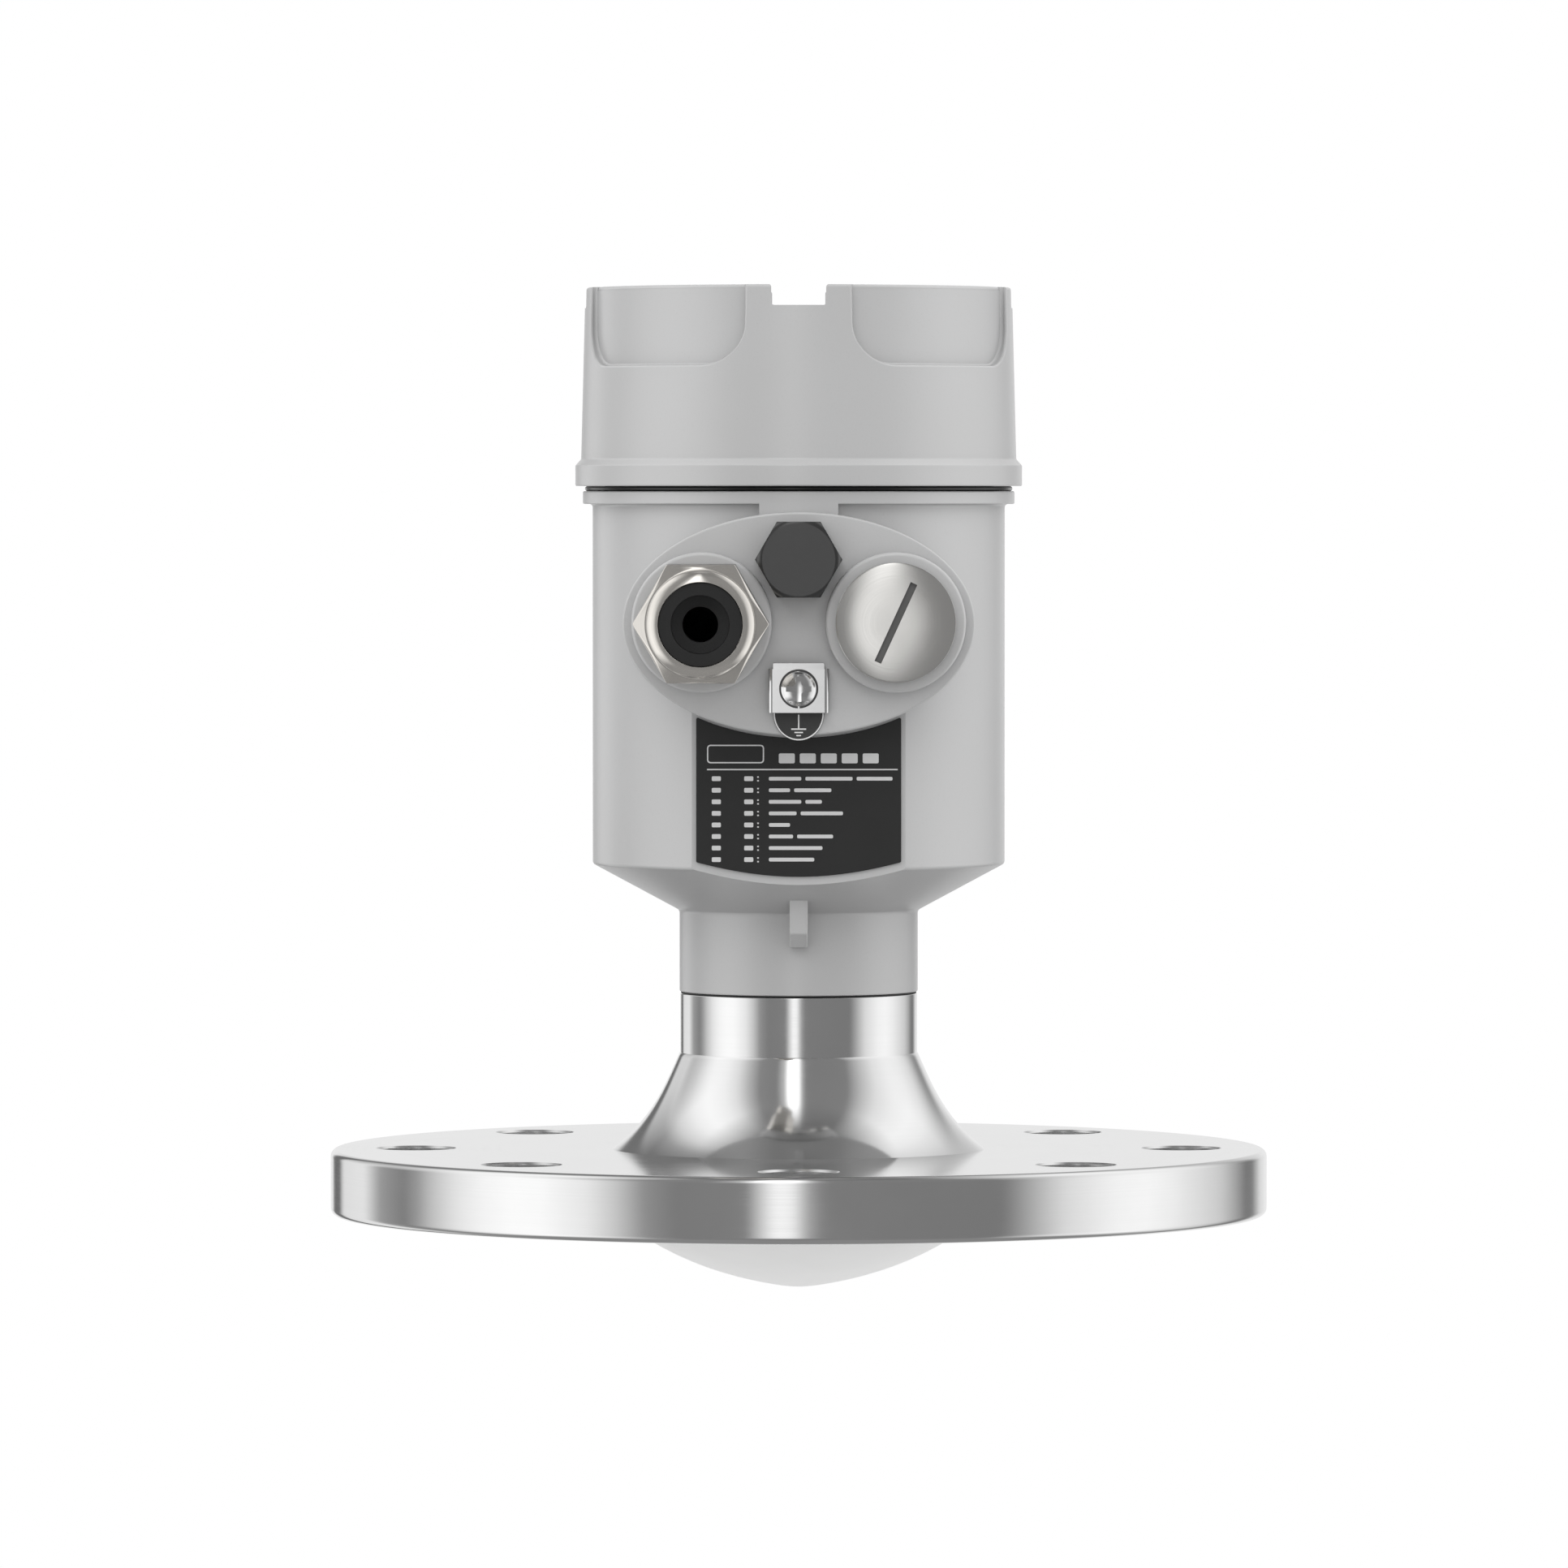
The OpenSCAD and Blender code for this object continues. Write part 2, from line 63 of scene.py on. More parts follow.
def outline(pts, k=5):
    """Closed counter-clockwise outline. A point is (x, y), (x, y, radius) for a rounded corner, or (x, y, None) on a smooth curve.
    Gives [(point, normal before it, normal after it)]."""
    P = [np.array(p[:2], float) for p in pts]
    F = [p[2] if len(p) > 2 else 0.0 for p in pts]
    n = len(P)
    D = [unit(P[(i + 1) % n] - P[i]) for i in range(n)]
    M = [np.array([d[1], -d[0]]) for d in D]
    out = []
    for i in range(n):
        d0, d1, m0, m1 = D[i - 1], D[i], M[i - 1], M[i]
        if F[i] is None:
            m = unit(m0 + m1)
            out.append((P[i], m, m))
            continue
        turn = math.atan2(d0[0] * d1[1] - d0[1] * d1[0], d0 @ d1)
        if F[i] <= 0 or abs(turn) < 1e-5:
            out.append((P[i], m0, m1))
            continue
        s = 1 if turn > 0 else -1
        c = P[i] - d0 * F[i] * math.tan(abs(turn) / 2) - m0 * F[i] * s
        steps = max(2, math.ceil(abs(turn) / (math.pi / 2) * k))
        for j in range(steps + 1):
            a = turn * j / steps
            m = np.array([m0[0] * math.cos(a) - m0[1] * math.sin(a), m0[0] * math.sin(a) + m0[1] * math.cos(a)])
            out.append((c + m * F[i] * s, m, m))
    return out


class Shell:
    """A closed skin: points, faces, a normal for each face corner and a material number for each face."""

    def __init__(self, v, f, n, m=0):
        self.v, self.f, self.n = np.array(v, float).reshape(-1, 3), f, n
        self.m = [m] * len(f) if isinstance(m, int) else m

    def at(self, matrix):
        a = np.array(matrix, float)
        r = a[:3, :3]
        t = np.linalg.inv(r).T
        v = self.v @ r.T + a[:3, 3]
        n = [x @ t.T for x in self.n]
        n = [x / np.linalg.norm(x, axis=1, keepdims=True) for x in n]
        f = self.f
        if np.linalg.det(r) < 0:
            f, n = [tuple(reversed(x)) for x in f], [x[::-1] for x in n]
        return Shell(v, f, n, list(self.m))

    def mat(self, m):
        return Shell(self.v, self.f, self.n, m)


def join(*shells):
    v, f, n, m, k = [], [], [], [], 0
    for s in shells:
        v.append(s.v)
        f += [tuple(i + k for i in x) for x in s.f]
        n += s.n
        m += s.m
        k += len(s.v)
    return Shell(np.vstack(v), f, n, m)


def revolve(pts, n=192, k=5, m=0, nodes=None):
    """Turns a closed outline in (radius, height) about Z."""
    nodes = nodes or outline(pts, k)
    c = [(math.cos(2 * math.pi * i / n), math.sin(2 * math.pi * i / n)) for i in range(n)]
    v, start, single = [], [], []
    for p, _, _ in nodes:
        start.append(len(v))
        single.append(p[0] < 1e-6)
        v += [(0, 0, p[1])] if p[0] < 1e-6 else [(p[0] * x, p[0] * y, p[1]) for x, y in c]
    f, nn = [], []
    for j in range(len(nodes)):
        q = (j + 1) % len(nodes)
        if single[j] and single[q]:
            continue
        n0, n1 = nodes[j][2], nodes[q][1]
        for i in range(n):
            i2 = (i + 1) % n
            a0, a1 = (start[j] + (0 if single[j] else i)), (start[j] + (0 if single[j] else i2))
            b0, b1 = (start[q] + (0 if single[q] else i)), (start[q] + (0 if single[q] else i2))
            corner = [(a0, n0, i), (a1, n0, i2), (b1, n1, i2), (b0, n1, i)]
            if single[j]:
                corner = [corner[0], corner[2], corner[3]]
            elif single[q]:
                corner = [corner[0], corner[1], corner[2]]
            f.append(tuple(x[0] for x in corner))
            nn.append(np.array([(x[1][0] * c[x[2]][0], x[1][0] * c[x[2]][1], x[1][1]) for x in corner]))
    return Shell(v, f, nn, m)


def prism(pts, z0, z1, top=0.0, bottom=0.0, k=4, kr=4, m=0, nodes=None, draft=0.0):
    """Extrudes a closed outline from z0 to z1, with its end edges rounded by top and bottom. draft widens it towards z0, per mm."""
    nodes = nodes or outline(pts, k)
    P = np.array([x[0] for x in nodes])
    L = np.array([x[1] for x in nodes])
    R = np.array([x[2] for x in nodes])
    mitre = (L + R) / (1 + np.sum(L * R, axis=1, keepdims=True))
    levels = []
    if bottom > 0:
        levels += [(z0 + bottom * (1 - math.sin(a)), bottom * (1 - math.cos(a)), -a) for a in [math.pi / 2 * (kr - j) / kr for j in range(kr + 1)]]
    else:
        levels.append((z0, 0.0, 0.0))
    if top > 0:
        levels += [(z1 - top * (1 - math.sin(a)), top * (1 - math.cos(a)), a) for a in [math.pi / 2 * j / kr for j in range(kr + 1)]]
    else:
        levels.append((z1, 0.0, 0.0))
    n = len(nodes)
    v = []
    for z, off, _ in levels:
        q = P - mitre * (off - draft * (z1 - z))
        v += [(x, y, z) for x, y in q]
    f, nn = [], []
    for j in range(len(levels) - 1):
        a0, a1 = levels[j][2], levels[j + 1][2]
        for i in range(n):
            i2 = (i + 1) % n
            f.append((j * n + i, j * n + i2, (j + 1) * n + i2, (j + 1) * n + i))
            r, l = R[i], L[i2]
            nn.append(np.array([
                (r[0] * math.cos(a0), r[1] * math.cos(a0), math.sin(a0)),
                (l[0] * math.cos(a0), l[1] * math.cos(a0), math.sin(a0)),
                (l[0] * math.cos(a1), l[1] * math.cos(a1), math.sin(a1)),
                (r[0] * math.cos(a1), r[1] * math.cos(a1), math.sin(a1))]))
    e = (len(levels) - 1) * n
    f.append(tuple(range(e, e + n)))
    nn.append(np.tile((0.0, 0, 1), (n, 1)))
    f.append(tuple(reversed(range(n))))
    nn.append(np.tile((0.0, 0, -1), (n, 1)))
    return Shell(v, f, nn, m)


def circle(r, x=0.0, y=0.0, n=96, clockwise=False):
    s = -1 if clockwise else 1
    return [(x + r * math.cos(2 * math.pi * i / n), y + s * r * math.sin(2 * math.pi * i / n), None) for i in range(n)]


def ngon(af, n=6, r=0.0, turn=0.0):
    q = af / 2 / math.cos(math.pi / n)
    return [(q * math.cos(turn + 2 * math.pi * i / n), q * math.sin(turn + 2 * math.pi * i / n), r) for i in range(n)]


def rect(x0, y0, x1, y1, r=0.0):
    return [(x0, y0, r), (x1, y0, r), (x1, y1, r), (x0, y1, r)]


def rod(r, z0, z1, c0=0.0, c1=0.0, n=64, m=0):
    """A round bar with chamfers c0 and c1; a negative one flares out, as the mouth of a hole does when the bar is cut away."""
    a, b = abs(c0), abs(c1)
    p = [(0, z0)]
    p += [(r - c0, z0), (r, z0 + a)] if a else [(r, z0)]
    p += [(r, z1 - b), (r - c1, z1)] if b else [(r, z1)]
    return revolve(p + [(0, z1)], n=n, m=m)


def thread(r, depth, pitch, z0, z1, core, n=96, per=8, m=0):
    """A right-hand thread of outer radius r about Z, fading out at both ends; core is not used."""
    rows = int((z1 - z0) / pitch * per)
    v, g = [], np.zeros((rows + 1, n, 3))
    for j in range(rows + 1):
        z = z0 + (z1 - z0) * j / rows
        fade = min(1.0, (z - z0) / (0.6 * pitch), (z1 - z) / (0.6 * pitch))
        for i in range(n):
            a = 2 * math.pi * i / n
            t = (z / pitch - a / (2 * math.pi)) % 1.0
            tri = abs(2 * t - 1)
            cut = min(1.0, max(0.0, (tri - 0.1) / 0.8))
            q = r - depth * (1 - fade * (1 - cut)) if fade < 1 else r - depth * cut
            g[j, i] = (q * math.cos(a), q * math.sin(a), z)
    du = np.roll(g, -1, 1) - np.roll(g, 1, 1)
    dv = np.gradient(g, axis=0)
    nn = np.cross(du, dv)
    nn /= np.linalg.norm(nn, axis=2, keepdims=True)
    v = [tuple(x) for x in g.reshape(-1, 3)]
    f, q = [], []
    for j in range(rows):
        for i in range(n):
            i2 = (i + 1) % n
            f.append((j * n + i, j * n + i2, (j + 1) * n + i2, (j + 1) * n + i))
            q.append(np.array([nn[j, i], nn[j, i2], nn[j + 1, i2], nn[j + 1, i]]))
    e = rows * n
    f.append(tuple(range(e, e + n)))
    q.append(np.tile((0.0, 0, 1), (n, 1)))
    f.append(tuple(reversed(range(n))))
    q.append(np.tile((0.0, 0, -1), (n, 1)))
    s = Shell(v, f, q, m)
    return s if core is None else s


def creased(v, f, limit=32.0):
    """Normals for each corner of each face: the average over the faces round the point that lie within limit degrees of this one."""
    v = np.array(v, float)
    fn = []
    for x in f:
        q = v[list(x)]
        w = np.cross(q, np.roll(q, -1, 0)).sum(0)
        fn.append(w)
    fn = np.array(fn)
    un = fn / np.maximum(np.linalg.norm(fn, axis=1, keepdims=True), 1e-12)
    at = [[] for _ in v]
    for i, x in enumerate(f):
        for j in x:
            at[j].append(i)
    c = math.cos(math.radians(limit))
    out = []
    for i, x in enumerate(f):
        rows = []
        for j in x:
            near = [k for k in at[j] if un[k] @ un[i] > c]
            rows.append(unit(fn[near].sum(0)))
        out.append(np.array(rows))
    return out


def changing(angles, section, m=0):
    """A closed solid round Z, with section(angle) giving its outline in (radius, height) from the axis out and back to the axis."""
    rows = [section(a) for a in angles]
    k, n = len(rows[0]), len(rows)
    v = [(0, 0, rows[0][0][1])] + [(r * math.cos(a), r * math.sin(a), h) for a, row in zip(angles, rows) for r, h in row[1:-1]] + [(0, 0, rows[0][-1][1])]
    q = k - 2
    f = []
    for i in range(n):
        i2 = (i + 1) % n
        f.append((0, 1 + i2 * q, 1 + i * q))
        f += [(1 + i * q + j, 1 + i2 * q + j, 1 + i2 * q + j + 1, 1 + i * q + j + 1) for j in range(q - 1)]
        f.append((1 + i * q + q - 1, 1 + i2 * q + q - 1, len(v) - 1))
    return Shell(v, f, creased(v, f), m)


def hex_angles(per=20, gap=1.1):
    """Angles round a hexagon whose corners are at 0, 60, ... degrees, closer together at the corners."""
    out = []
    for s in range(6):
        out += [math.radians(60 * s + gap * j / 3) for j in range(-2, 4)]
        out += [math.radians(60 * s + gap + (60 - 2 * gap) * j / per) for j in range(1, per)] + [math.radians(60 * s + 60 - gap)]
    return out


def hex_radius(a, af, r):
    """How far a hexagon's outline is from its middle at an angle, with its corners rounded by r."""
    d = math.degrees(a) % 60 - 30
    flat = af / 2 / math.cos(math.radians(d))
    # the rounding's own circle sits inside the corner
    c = (af / 2 - r) / math.cos(math.radians(30))
    e = math.radians(30 - abs(d))
    tip = c * math.cos(e) + math.sqrt(max(0.0, r * r - (c * math.sin(e)) ** 2)) if c * math.sin(e) < r else 0.0
    edge = math.degrees(math.atan2(math.tan(math.radians(30)) * (af / 2 - r), af / 2))
    return tip if abs(d) > edge and tip > 0 else flat


SPARE = [bpy.data.materials.new(f"spare_{i}") for i in range(48)]


def raw(shell, number):
    me = bpy.data.meshes.new("raw")
    me.from_pydata(shell.v.tolist(), [], shell.f)
    for x in SPARE:
        me.materials.append(x)
    me.polygons.foreach_set("material_index", np.full(len(me.polygons), number, np.int32))
    o = bpy.data.objects.new("raw", me)
    bpy.context.scene.collection.objects.link(o)
    return o


def triangles(shell):
    """Triangles of a shell, their normals at each corner, and the face each is from."""
    t, n, m = [], [], []
    for f, q, mm in zip(shell.f, shell.n, shell.m):
        if len(f) <= 4:
            tri = [(0, i, i + 1) for i in range(1, len(f) - 1)]
        else:
            tri = tessellate_polygon([[Vector(shell.v[i]) for i in f]])
        for a in tri:
            t.append([f[i] for i in a])
            n.append([q[i] for i in a])
            m.append(mm)
    return t, np.array(n), m


def carve(base, *ops):
    """Joins ("+"), cuts ("-") or keeps what is common ("*") of closed shells, and takes each corner's normal and each face's
    material from the shell that the face came from."""
    parts = [base] + [s for _, s in ops]
    objects = [raw(s, i) for i, s in enumerate(parts)]
    for (sign, _), o in zip(ops, objects[1:]):
        b = objects[0].modifiers.new("b", "BOOLEAN")
        b.solver, b.object, b.material_mode = "MANIFOLD", o, "INDEX"
        b.operation = {"+": "UNION", "-": "DIFFERENCE", "*": "INTERSECT"}[sign]
    dg = bpy.context.evaluated_depsgraph_get()
    me = bpy.data.meshes.new_from_object(objects[0].evaluated_get(dg), depsgraph=dg)
    for o in objects:
        old = o.data
        bpy.data.objects.remove(o)
        bpy.data.meshes.remove(old)
    v = np.empty(len(me.vertices) * 3)
    me.vertices.foreach_get("co", v)
    v = v.reshape(-1, 3)
    source = np.empty(len(me.polygons), np.int32)
    me.polygons.foreach_get("material_index", source)
    f = [tuple(p.vertices) for p in me.polygons]
    face_n = np.empty(len(me.polygons) * 3)
    me.polygons.foreach_get("normal", face_n)
    face_n = face_n.reshape(-1, 3)
    bpy.data.meshes.remove(me)
    normals, mats = [None] * len(f), [0] * len(f)
    for number, shell in enumerate(parts):
        mine = np.flatnonzero(source == number)
        if not len(mine):
            continue
        t, tn, tm = triangles(shell)
        tree = BVHTree.FromPolygons([tuple(x) for x in shell.v.tolist()], t)
        ta = shell.v[np.array(t)]
        where, hits, size = [], [], []
        for i in mine:
            c = v[list(f[i])]
            mid = c.mean(axis=0)
            w = c + (mid - c) * 0.03
            where.append(w)
            size.append(len(c))
            for p in w:
                hits.append(tree.find_nearest(p)[2])
        where, hits = np.vstack(where), np.array(hits)
        a, b, c = ta[hits, 0], ta[hits, 1], ta[hits, 2]
        e0, e1, e2 = b - a, c - a, where - a
        d00, d01, d11 = (e0 * e0).sum(1), (e0 * e1).sum(1), (e1 * e1).sum(1)
        d20, d21 = (e2 * e0).sum(1), (e2 * e1).sum(1)
        den = np.where(np.abs(d00 * d11 - d01 * d01) < 1e-18, 1, d00 * d11 - d01 * d01)
        s, u = (d11 * d20 - d01 * d21) / den, (d00 * d21 - d01 * d20) / den
        s, u = np.clip(s, 0, 1), np.clip(u, 0, 1)
        got = tn[hits, 0] * (1 - s - u)[:, None] + tn[hits, 1] * s[:, None] + tn[hits, 2] * u[:, None]
        got /= np.maximum(np.linalg.norm(got, axis=1, keepdims=True), 1e-9)
        k = 0
        for i, z in zip(mine, size):
            g = got[k:k + z].copy()
            fn = face_n[i]
            dot = g @ fn
            if np.median(dot) < 0:
                g, dot = -g, -dot
            g[dot < 0.55] = fn
            normals[i] = g
            mats[i] = tm[hits[k]]
            k += z
    return Shell(v, f, normals, mats)


def front(x=0.0, z=0.0):
    """The frame of something on the housing's front: its own z is the distance in front of the axis."""
    return Matrix.Translation((x, 0, z)) @ Matrix.Rotation(math.pi / 2, 4, "X")


def turn(deg, axis="Z"):
    return Matrix.Rotation(math.radians(deg), 4, axis)


def shift(x=0.0, y=0.0, z=0.0):
    return Matrix.Translation((x, y, z))


def piece(name, shell, mats, body, replaces):
    me = bpy.data.meshes.new(name)
    me.from_pydata((shell.v * MM).tolist(), [], shell.f)
    for x in mats:
        me.materials.append(x)
    me.polygons.foreach_set("material_index", np.array(shell.m, np.int32))
    me.polygons.foreach_set("use_smooth", np.ones(len(shell.f), bool))
    flat = np.vstack(shell.n)
    if me.validate():
        print("mesh changed by validate:", name)
    me.normals_split_custom_set(flat.tolist())
    o = bpy.data.objects.new(name, me)
    bpy.context.scene.collection.objects.link(o)
    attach(o, body)
    if replaces:
        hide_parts(*replaces)
    return o


# ---------------------------------------------------------------- dimensions
FLANGE_R, FLANGE_T = 110.0, 15.3
FLARE_Z, NECK_R, NECK_Z, FOOT_R = 37.7, 27.85, 51.9, 43.9
BODY_R, STEM_R, PAD_H = 48.4, 28.0, 41.6
BOSS_H, BOSS_A, BOSS_B, BOSS_Z = 53.0, 40.6, 25.7, 139.3
ENTRY_X, ENTRY_Z, ENTRY_R, ENTRY_H = 22.3, 139.6, 16.2, 57.0
VENT_Z, GROUND_Z = 154.1, 124.4
LID_Z, LID_TOP = 171.0, 217.5
POSTS = (90, 210, 330)


def flare(z):
    q = FLARE_Z - z
    k = (FOOT_R - NECK_R - 0.2 - 0.44 * (FLARE_Z - FLANGE_T)) / (FLARE_Z - FLANGE_T) ** 3.5
    return NECK_R + 0.2 + 0.44 * q + k * q ** 3.5


def lens_depth(r):
    k = (17.3 - 0.18 * (math.sqrt(44 * 44 + 16) - 4)) / 44 ** 2.75
    return 17.3 - 0.18 * (math.sqrt(r * r + 16) - 4) - k * r ** 2.75


def funnel_z(r):
    return 71.4 + (r - STEM_R) * 11 / (BODY_R - STEM_R)


# ------------------------------------------------------------ process side
def make_flange():
    body = revolve([(38, 3.5), (44.3, 3.5, 0.2), (44.3, 0, 0.35), (FLANGE_R, 0, 1.6), (FLANGE_R, FLANGE_T, 1.6),
                    (39.6, FLANGE_T, 0.15), (39.6, 12.3), (38, 12.3)], n=288, k=7)
    cuts = []
    for i in range(8):
        a = math.radians(45 * i)
        e = 0.5
        prof = [(0, -3), (12.5, -3), (9 + e, 0, 0.12), (9, e, 0.12), (9, FLANGE_T - e, 0.12), (9 + e, FLANGE_T, 0.12), (12.5, FLANGE_T + 3),
                (0, FLANGE_T + 3)]
        cuts.append(("-", revolve(prof, n=72, m=1).at(shift(90 * math.cos(a), 90 * math.sin(a), 0))))
    return carve(body, *cuts)


def make_neck():
    z = [FLANGE_T + 0.12 + (FLARE_Z - FLANGE_T - 0.12) * (i / 47) ** 1.25 for i in range(48)]
    outer = [(39.5, 12.4, 0.3), (39.5, FLANGE_T), (FOOT_R, FLANGE_T)]
    outer += [(flare(q), q, None) for q in z]
    outer += [(NECK_R, FLARE_Z + 0.25), (NECK_R, NECK_Z, 0.3), (22, NECK_Z), (22, 60), (20.2, 60, 0.2), (20.2, 62.6, 0.2), (22, 62.6),
              (22, 71.9), (20.8, 71.9), (20.8, 73.3), (22, 73.3), (22, 76, 0.5), (18.5, 76), (18.5, 50), (8.1, 50), (8.1, 44), (4, 44),
              (37, 15.3), (37, 12.4)]
    return revolve(outer, n=256, k=5)


def make_lens():
    face = [(44 * (i / 60) ** 1.1, None) for i in range(61)]
    pts = [(r, -lens_depth(r), None if r else 0) for r, _ in face[:-1]]
    pts += [(44, 0.0), (44, 3.4, 0.2), (37.7, 3.4), (37.7, 6.8), (35.4, 6.8), (35.4, 9.4), (37.7, 9.4), (37.7, 11.4), (36.6, 12.2), (36.6, 13.8)]
    pts += [(34 * math.cos(math.radians(3 * i)), 14.6 + 10 * math.sin(math.radians(3 * i)), None) for i in range(30)]
    pts += [(0, 24.6)]
    return revolve(pts, n=192)


# ------------------------------------------------------------ housing
def lug():
    pts = [(20, 63.7), (31.2, 63.7, 0.9), (34.6, 67.1, 0.9), (34.6, 75.2, 0.6), (20, 75.2)]
    m = Matrix(((0, 0, -1, 0), (-1, 0, 0, 0), (0, 1, 0, 0), (0, 0, 0, 1)))
    return prism(pts, -2.1, 2.1, top=0.45, bottom=0.45, k=5).at(m)


def make_housing():
    body = revolve([(0, 52.3), (STEM_R, 52.3, 0.35), (STEM_R, 71.4, 1.2), (BODY_R, 82.4, 1.0), (BODY_R, 166.8, 0.8), (50.7, 166.8, 0.35),
                    (50.7, 169.8, 0.4), (45.5, 169.8, 0.3), (45.5, 185.7, 0.6), (0, 185.7)], n=240)
    pad = prism(rect(-40, 70, 40, BOSS_Z), PAD_H, 70).at(front())
    nodes = []
    for i in range(200):
        a = 2 * math.pi * i / 200
        p = np.array([BOSS_A * math.cos(a), BOSS_B * math.sin(a)])
        m = unit(np.array([p[0] / BOSS_A ** 2, p[1] / BOSS_B ** 2]))
        nodes.append((p, m, m))
    boss = prism(None, 20, BOSS_H, top=0.55, nodes=nodes).at(front(0, BOSS_Z))
    entries = [prism(circle(ENTRY_R, n=128), 30, ENTRY_H, top=0.85, kr=5).at(front(s * ENTRY_X, ENTRY_Z)) for s in (-1, 1)]
    tab = carve(prism(rect(-9.1, 158, 9.1, 167.6, 0.0), 35, 60).at(front()), ("*", revolve([(0, 150), (50.69, 150), (50.69, 175), (0, 175)], n=240)))
    chamber = revolve([(0, 50), (22.05, 50), (22.05, 71.5), (26, 71.5), (26, 77.5), (35, 84), (35, 121), (38.2, 121), (38.2, 150), (41.5, 153),
                       (41.5, 185.2), (42.2, 185.9), (42.2, 190), (0, 190)], n=144)
    ops = [("-", pad), ("+", boss)] + [("+", x) for x in entries] + [("+", tab), ("+", lug())]
    ops += [("+", thread(46.45, 0.85, 2.0, 171.4, 185.3, None, n=180, per=7)), ("-", chamber),
            ("-", prism(rect(-31, 131, 31, 147, 3.0), 17, 47, k=4).at(front()))]
    for a in POSTS:
        ops.append(("+", rod(4.5, 76.9, 120.98, n=48).at(turn(a) @ shift(31, 0, 0))))
    for a in POSTS:
        ops.append(("-", rod(2.0 if a == 90 else 1.5, 108, 122, n=32).at(turn(a) @ shift(31, 0, 0))))
    for s in (-1, 1):
        ops.append(("-", rod(10, 40, 58.5, n=96).at(front(s * ENTRY_X, ENTRY_Z))))
    ops.append(("-", rod(6, 44.5, 54, n=64).at(front(0, VENT_Z))))
    ops.append(("-", rod(3, 34, 45, n=48).at(front(0, VENT_Z))))
    ops.append(("-", rod(2, 43.5, 54, n=40).at(front(0, GROUND_Z))))
    ops.append(("-", revolve([(0, 20), (2.5, 20), (2.5, 27.6), (3.2, 28.3), (3.2, 31), (0, 31)], n=48).at(shift(0, 0, 66) @ turn(-90, "X"))))
    return carve(body, *ops)


# ------------------------------------------------------------ lid
def lid_wall(z):
    return 51.1 + (z - 177.3) * (50.2 - 51.1) / (212.7 - 177.3)


POCKET_R = 48.55


def pocket_cutter(angle, w=25.3, z0=199.0, cr=9.5, rho=0.5, k=6, fillet=0.6, kf=6):
    pts = [(-w, 224), (-w, z0, cr), (w, z0, cr), (w, 224)]
    nodes = outline(pts, 14)
    # more points along the straight stretches, so that the lip follows the round wall
    fine = []
    for i, (p, nl, nr) in enumerate(nodes):
        q = nodes[(i + 1) % len(nodes)]
        fine.append((p, nl, nr))
        steps = int(np.linalg.norm(q[0] - p) / 1.6)
        for j in range(1, steps):
            fine.append((p + (q[0] - p) * j / steps, nr, nr))
    slope = (50.2 - 51.1) / (212.7 - 177.3)
    levels = []
    for p, nl, nr in fine:
        mm = (nl + nr) / (1 + nl @ nr)
        R = lid_wall(p[1])
        D = math.sqrt(max(R * R - p[0] * p[0], 1))
        g = -p[0] * mm[0] / D + slope * R / D * mm[1]
        wc = g * rho - rho * math.sqrt(1 + g * g)
        end = math.atan2(1, -g) + math.radians(14)
        # a hollow fillet between the pocket's side and its floor, which is the cylinder of radius POCKET_R
        F = math.sqrt(POCKET_R ** 2 - p[0] * p[0])
        gf = p[0] * mm[0] / F
        half = math.acos(max(-0.99, min(0.99, gf / math.sqrt(1 + gf * gf)))) / 2
        h1 = F - D + fillet / math.tan(half) - 0.03 * math.sqrt(1 + gf * gf)
        stop = math.atan2(1, gf)
        arc = [(-fillet - fillet * math.cos(a), h1 - fillet * math.sin(a), a) for a in [stop + (math.pi - stop) * j / kf for j in range(kf + 1)]]
        col = [(arc[0][0], 30.0 - D, math.pi)] + arc + [(0, wc, math.pi)]
        for j in range(1, k + 1):
            a = math.pi + (end - math.pi) * j / k
            col.append((rho + rho * math.cos(a), wc + rho * math.sin(a), a))
        u, x, a = col[-1]
        col.append((u + 0.9 * math.sin(a), x - 0.9 * math.cos(a), a))
        col.append((col[-1][0], 62.0 - D, math.pi))
        levels.append([(p + mm * c[0], D + c[1], c[2], nl, nr) for c in col])
    n, rows = len(levels), len(levels[0])
    v = [(levels[i][j][0][0], levels[i][j][0][1], levels[i][j][1]) for j in range(rows) for i in range(n)]
    f, nn = [], []

    def nrm(c, m):
        return (-math.cos(c[2]) * m[0], -math.cos(c[2]) * m[1], -math.sin(c[2]))

    for j in range(rows - 1):
        for i in range(n):
            i2 = (i + 1) % n
            f.append((j * n + i, j * n + i2, (j + 1) * n + i2, (j + 1) * n + i))
            a, b, c, d = levels[i][j], levels[i2][j], levels[i2][j + 1], levels[i][j + 1]
            nn.append(np.array([nrm(a, a[4]), nrm(b, b[3]), nrm(c, c[3]), nrm(d, d[4])]))
    e = (rows - 1) * n
    f.append(tuple(range(e, e + n)))
    nn.append(np.tile((0.0, 0, 1), (n, 1)))
    f.append(tuple(reversed(range(n))))
    nn.append(np.tile((0.0, 0, -1), (n, 1)))
    window = Shell(v, f, nn).at(turn(angle) @ front())
    # the floor ends in a narrow step under a rounded rim
    r, e = POCKET_R - 0.12, 0.7
    core = [(0, 190), (POCKET_R, 190), (POCKET_R, LID_TOP - 0.85), (r, LID_TOP - 0.85), (r, LID_TOP - e)]
    core += [(r - e + e * math.cos(t), LID_TOP - e + e * math.sin(t), None) for t in [math.radians(x) for x in (15, 30, 45, 60, 75)]]
    core += [(r - e - 0.6, LID_TOP + 0.25), (r - e - 0.6, 230), (0, 230)]
    return carve(window, ("-", revolve(core, n=192)))


